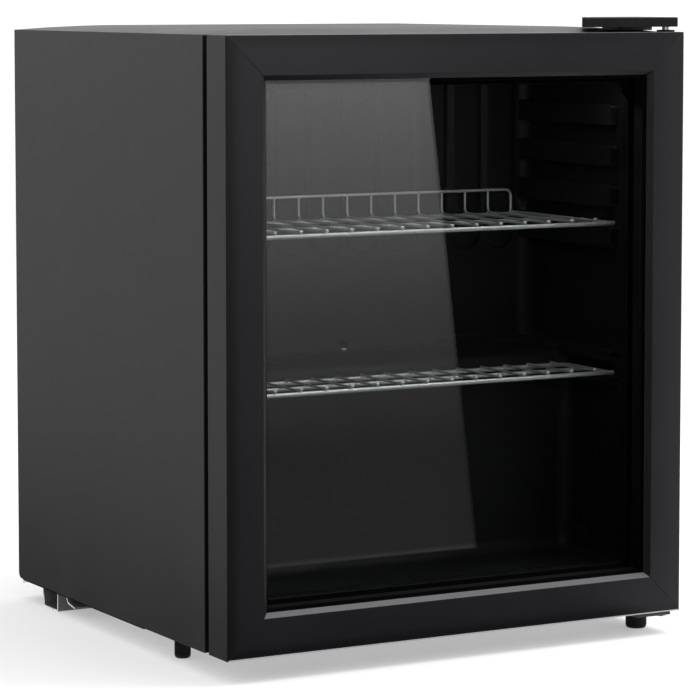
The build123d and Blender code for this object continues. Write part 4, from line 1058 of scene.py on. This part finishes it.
def bevelled_bar(low, high, edge):
    """Points and faces of a bar between two corners with its edges cut."""
    work = bmesh.new()
    bmesh.ops.create_cube(work, size=1.0)
    for vert in work.verts:
        vert.co = Vector(a if c < 0 else b for a, b, c in zip(low, high, vert.co))
    bmesh.ops.bevel(work, geom=list(work.edges), offset=edge, segments=2, profile=0.5, affect="EDGES")
    work.verts.index_update()
    points = [tuple(v.co) for v in work.verts]
    faces = [tuple(v.index for v in f.verts) for f in work.faces]
    work.free()
    return points, faces


# ---------------------------------------------------------------- studio
def through_glass(eye, pane_y, x, z, card_y):
    """Where a ray from the mirrored eye through a point of the pane meets the card."""
    mirrored = Vector((eye[0], 2 * pane_y - eye[1], eye[2]))
    target = Vector((x, pane_y, z))
    share = (card_y - mirrored.y) / (target.y - mirrored.y)
    return mirrored + (target - mirrored) * share


def card(name, corners, material):
    """A flat card that only mirrors see."""
    mesh = bpy.data.meshes.new(name)
    mesh.from_pydata([tuple(c) for c in corners], [], [tuple(range(len(corners)))])
    mesh.materials.append(material)
    item = linked(name, mesh)
    item.visible_camera = False
    item.visible_diffuse = False
    item.visible_shadow = False


def level_card(name, x_span, y_span, z, material):
    """A level card between two X places and two Y places."""
    (x_start, x_end), (y_start, y_end) = x_span, y_span
    card(name, [(x_start, y_start, z), (x_end, y_start, z), (x_end, y_end, z), (x_start, y_end, z)], material)


def glow(name, low_z, high_z, levels, strength=1.0):
    """A light-giving material whose level changes with height."""
    material = bpy.data.materials.new(name)
    material.use_nodes = True
    tree = material.node_tree
    tree.nodes.remove(tree.nodes["Principled BSDF"])
    give = tree.nodes.new("ShaderNodeEmission")
    give.inputs["Strength"].default_value = strength
    split = tree.nodes.new("ShaderNodeSeparateXYZ")
    tree.links.new(own_place(tree), split.inputs[0])
    share = spread(tree, split.outputs["Z"], low_z, high_z)
    ramp = tree.nodes.new("ShaderNodeValToRGB")
    for n, (place, level) in enumerate(levels):
        stop = ramp.color_ramp.elements[n] if n < 2 else ramp.color_ramp.elements.new(place)
        stop.position = place
        stop.color = (level, level, level, 1.0)
    tree.links.new(share, ramp.inputs["Fac"])
    tree.links.new(ramp.outputs["Color"], give.inputs["Color"])
    tree.links.new(give.outputs["Emission"], tree.nodes["Material Output"].inputs["Surface"])
    return material


def area_light(name, place, target, size, power):
    """A soft rectangular light that looks at a point."""
    light = bpy.data.lights.new(name, "AREA")
    light.shape = "RECTANGLE"
    light.size, light.size_y = size
    light.energy = power
    item = linked(name, light)
    item.location = place
    item.rotation_mode = "QUATERNION"
    item.rotation_quaternion = (Vector(target) - Vector(place)).to_track_quat("-Z", "Y")
    item.visible_camera = False


class MERCHANDISER_OT_studio(bpy.types.Operator):
    """Set up the camera, the pale floor, the soft light and the cards that the glass mirrors"""

    bl_idname = "merchandiser.studio"
    bl_label = "Studio"

    def execute(self, context):
        scene = context.scene
        studio = scene.merchandiser_studio
        scene.view_settings.view_transform = "Standard"
        data = bpy.data.cameras.new("product_camera")
        data.lens = studio.lens
        data.sensor_width = 36.0
        data.shift_y = studio.rise
        data.clip_start = 0.05
        data.clip_end = 60.0
        camera = linked("product_camera", data)
        scene.camera = camera
        eye = Vector(studio.camera_place)
        yaw = studio.camera_yaw
        pitch = studio.camera_pitch
        look = Vector((math.sin(yaw) * math.cos(pitch), math.cos(yaw) * math.cos(pitch), math.sin(pitch)))
        camera.location = eye
        camera.rotation_mode = "QUATERNION"
        camera.rotation_quaternion = look.to_track_quat("-Z", "Y")

        # floor
        reach = 30.0
        mesh = bpy.data.meshes.new("studio_floor")
        corners = [(-reach, -reach, 0.0), (reach, -reach, 0.0), (reach, reach, 0.0), (-reach, reach, 0.0)]
        mesh.from_pydata(corners, [], [(0, 1, 2, 3)])
        floor = linked("studio_floor", mesh)
        floor_paint, shader = new_finish("studio_floor", specular=0.0)
        texture = group_node(floor_paint, "fine_texture", Grain_Scale=300.0, Cloud_Scale=3.0)
        base = tuple(studio.floor_colour)
        tone = mix_colour(floor_paint, texture.outputs["Tone"], shade(base, 0.995), shade(base, 1.005))
        floor_paint.node_tree.links.new(tone, shader.inputs["Base Color"])
        shader.inputs["Roughness"].default_value = 0.9
        shader.inputs["Emission Color"].default_value = (1.0, 1.0, 1.0, 1.0)
        shader.inputs["Emission Strength"].default_value = studio.floor_glow
        mesh.materials.append(floor_paint)

        # white surround
        world = bpy.data.worlds.new("white_surround")
        world.use_nodes = True
        scene.world = world
        surround = world.node_tree.nodes["Background"]
        surround.inputs["Color"].default_value = (1.0, 1.0, 1.0, 1.0)
        surround.inputs["Strength"].default_value = studio.sky

        # cards seen only in the glass and the satin paint
        pane_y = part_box("outer_glass")[0].y
        flag_y = -0.55
        above_floor = 0.5 * MM
        pane_half = 0.215
        pane_foot = 0.078
        flag_left = -0.5
        flag_top = 0.9
        flag_paint = glow("flag_paint", 0.0, 1.0, [(0.0, 0.0), (1.0, 0.0)], 0.0)
        spans = [(flag_left, pane_foot), (pane_half, pane_foot), (pane_half, flag_top), (flag_left, flag_top)]
        corners = [through_glass(eye, pane_y, x, z, flag_y) for x, z in spans]
        for corner in corners[:2]:
            corner.z = above_floor
        card("black_flag", corners, flag_paint)
        left_x = corners[0].x
        right_x = corners[1].x
        split_x = 0.2
        level_card("floor_flag_near", (left_x, split_x), (flag_y, -0.215), above_floor, flag_paint)
        level_card("floor_flag_right", (split_x, right_x), (flag_y, -0.4), above_floor, flag_paint)

        # bright card behind the glare, with a slanted right edge on the pane
        card_y = -0.545
        low_z = 0.09
        top_z = 0.62
        glare_left = -0.32
        edge_top_x = -30.9 * MM
        edge_top_z = 474.6 * MM
        edge_foot_x = 16.2 * MM
        edge_foot_z = 81.7 * MM
        lean = (edge_foot_x - edge_top_x) / (edge_foot_z - edge_top_z)
        edge = [(edge_top_x + lean * (z - edge_top_z), z) for z in (low_z, top_z)]
        spans = [(glare_left, low_z), edge[0], edge[1], (glare_left, top_z)]
        corners = [through_glass(eye, pane_y, x, z, card_y) for x, z in spans]
        levels = [(0.0, 0.34), (1.0, 1.95), (0.008, 0.16), (0.17, 0.14), (0.39, 0.42), (0.62, 0.97)]
        levels += [(0.7, 1.22)]
        card("glare_card", corners, glow("glare_card", corners[0].z, corners[3].z, levels, studio.glare))

        # cards that shade the cabinet's left side from the top down
        side_x = -0.42
        side_back = 1.4
        side_front = -0.7
        side_top = 0.9
        spans = [(side_back, above_floor), (side_front, above_floor)]
        spans += [(side_front, side_top), (side_back, side_top)]
        side_paint = glow("side_card", 0.0, side_top, [(0.0, 0.4), (1.0, 1.15), (0.5, 0.52)])
        card("side_card", [(side_x, y, z) for y, z in spans], side_paint)
        level_card("side_floor_flag", (side_x, -0.22), (side_back, side_front), above_floor, flag_paint)

        # card that lights the frame's lower inner bevel and the tops of the shelf wires
        bevel_paint = glow("bevel_card", 0.0, 1.0, [(0.0, 1.0), (1.0, 1.0)], 5.0)
        level_card("bevel_card", (0.3, 0.9), (-0.7, -0.15), 1.1, bevel_paint)

        # name, place, target, size and power of each light
        lights = [
            ("front_softbox", (0.7, -2.2, 0.9), (0.0, -0.2, 0.1), (1.0, 1.0), 5.0),
            ("overhead_softbox", (0.9, -0.4, 1.9), (0.0, 0.0, 0.3), (1.2, 1.2), 30.0),
            ("cavity_fill", (0.0, -0.17, 0.462), (0.0, -0.03, 0.2), (0.34, 0.02), 0.1),
            ("side_softbox", (-0.9, 0.1, 1.05), (-0.2, 0.0, 0.42), (0.5, 1.2), 1.6),
        ]
        for row in lights:
            area_light(*row)
        return {"FINISHED"}


class MERCHANDISER_PT_build(bpy.types.Panel):
    """Lists the pieces that can be built"""

    bl_idname = "MERCHANDISER_PT_build"
    bl_label = "Merchandiser"
    bl_space_type = "VIEW_3D"
    bl_region_type = "UI"
    bl_category = "Merchandiser"

    def draw(self, context):
        for step in STEPS:
            self.layout.operator(step.bl_idname)
        for look in (context.scene.merchandiser_look, context.scene.merchandiser_studio):
            box = self.layout.box()
            for name in look.__annotations__:
                box.prop(look, name)


STEPS = (
    MERCHANDISER_OT_finishes,
    MERCHANDISER_OT_studio,
    MERCHANDISER_OT_door_frame,
    MERCHANDISER_OT_gasket,
    MERCHANDISER_OT_cabinet,
    MERCHANDISER_OT_liner,
    MERCHANDISER_OT_shelf_welds,
    MERCHANDISER_OT_screws,
    MERCHANDISER_OT_feet,
    MERCHANDISER_OT_compressor_details,
    MERCHANDISER_OT_dial,
)
CLASSES = (MerchandiserLook, StudioLook) + STEPS + (MERCHANDISER_PT_build,)


def register():
    """Register the classes and hang their settings on the scene."""
    for item in CLASSES:
        bpy.utils.register_class(item)
    bpy.types.Scene.merchandiser_look = bpy.props.PointerProperty(type=MerchandiserLook)
    bpy.types.Scene.merchandiser_studio = bpy.props.PointerProperty(type=StudioLook)


def unregister():
    """Take the settings and the classes away again."""
    del bpy.types.Scene.merchandiser_studio
    del bpy.types.Scene.merchandiser_look
    for item in reversed(CLASSES):
        bpy.utils.unregister_class(item)


def main():
    """Build everything in order."""
    register()
    ops = bpy.ops.merchandiser
    ops.finishes()
    ops.studio()
    ops.door_frame()
    ops.gasket()
    ops.cabinet()
    ops.liner()
    ops.shelf_welds()
    ops.screws()
    ops.feet()
    ops.compressor_details()
    ops.dial()


if __name__ == "__main__":
    main()
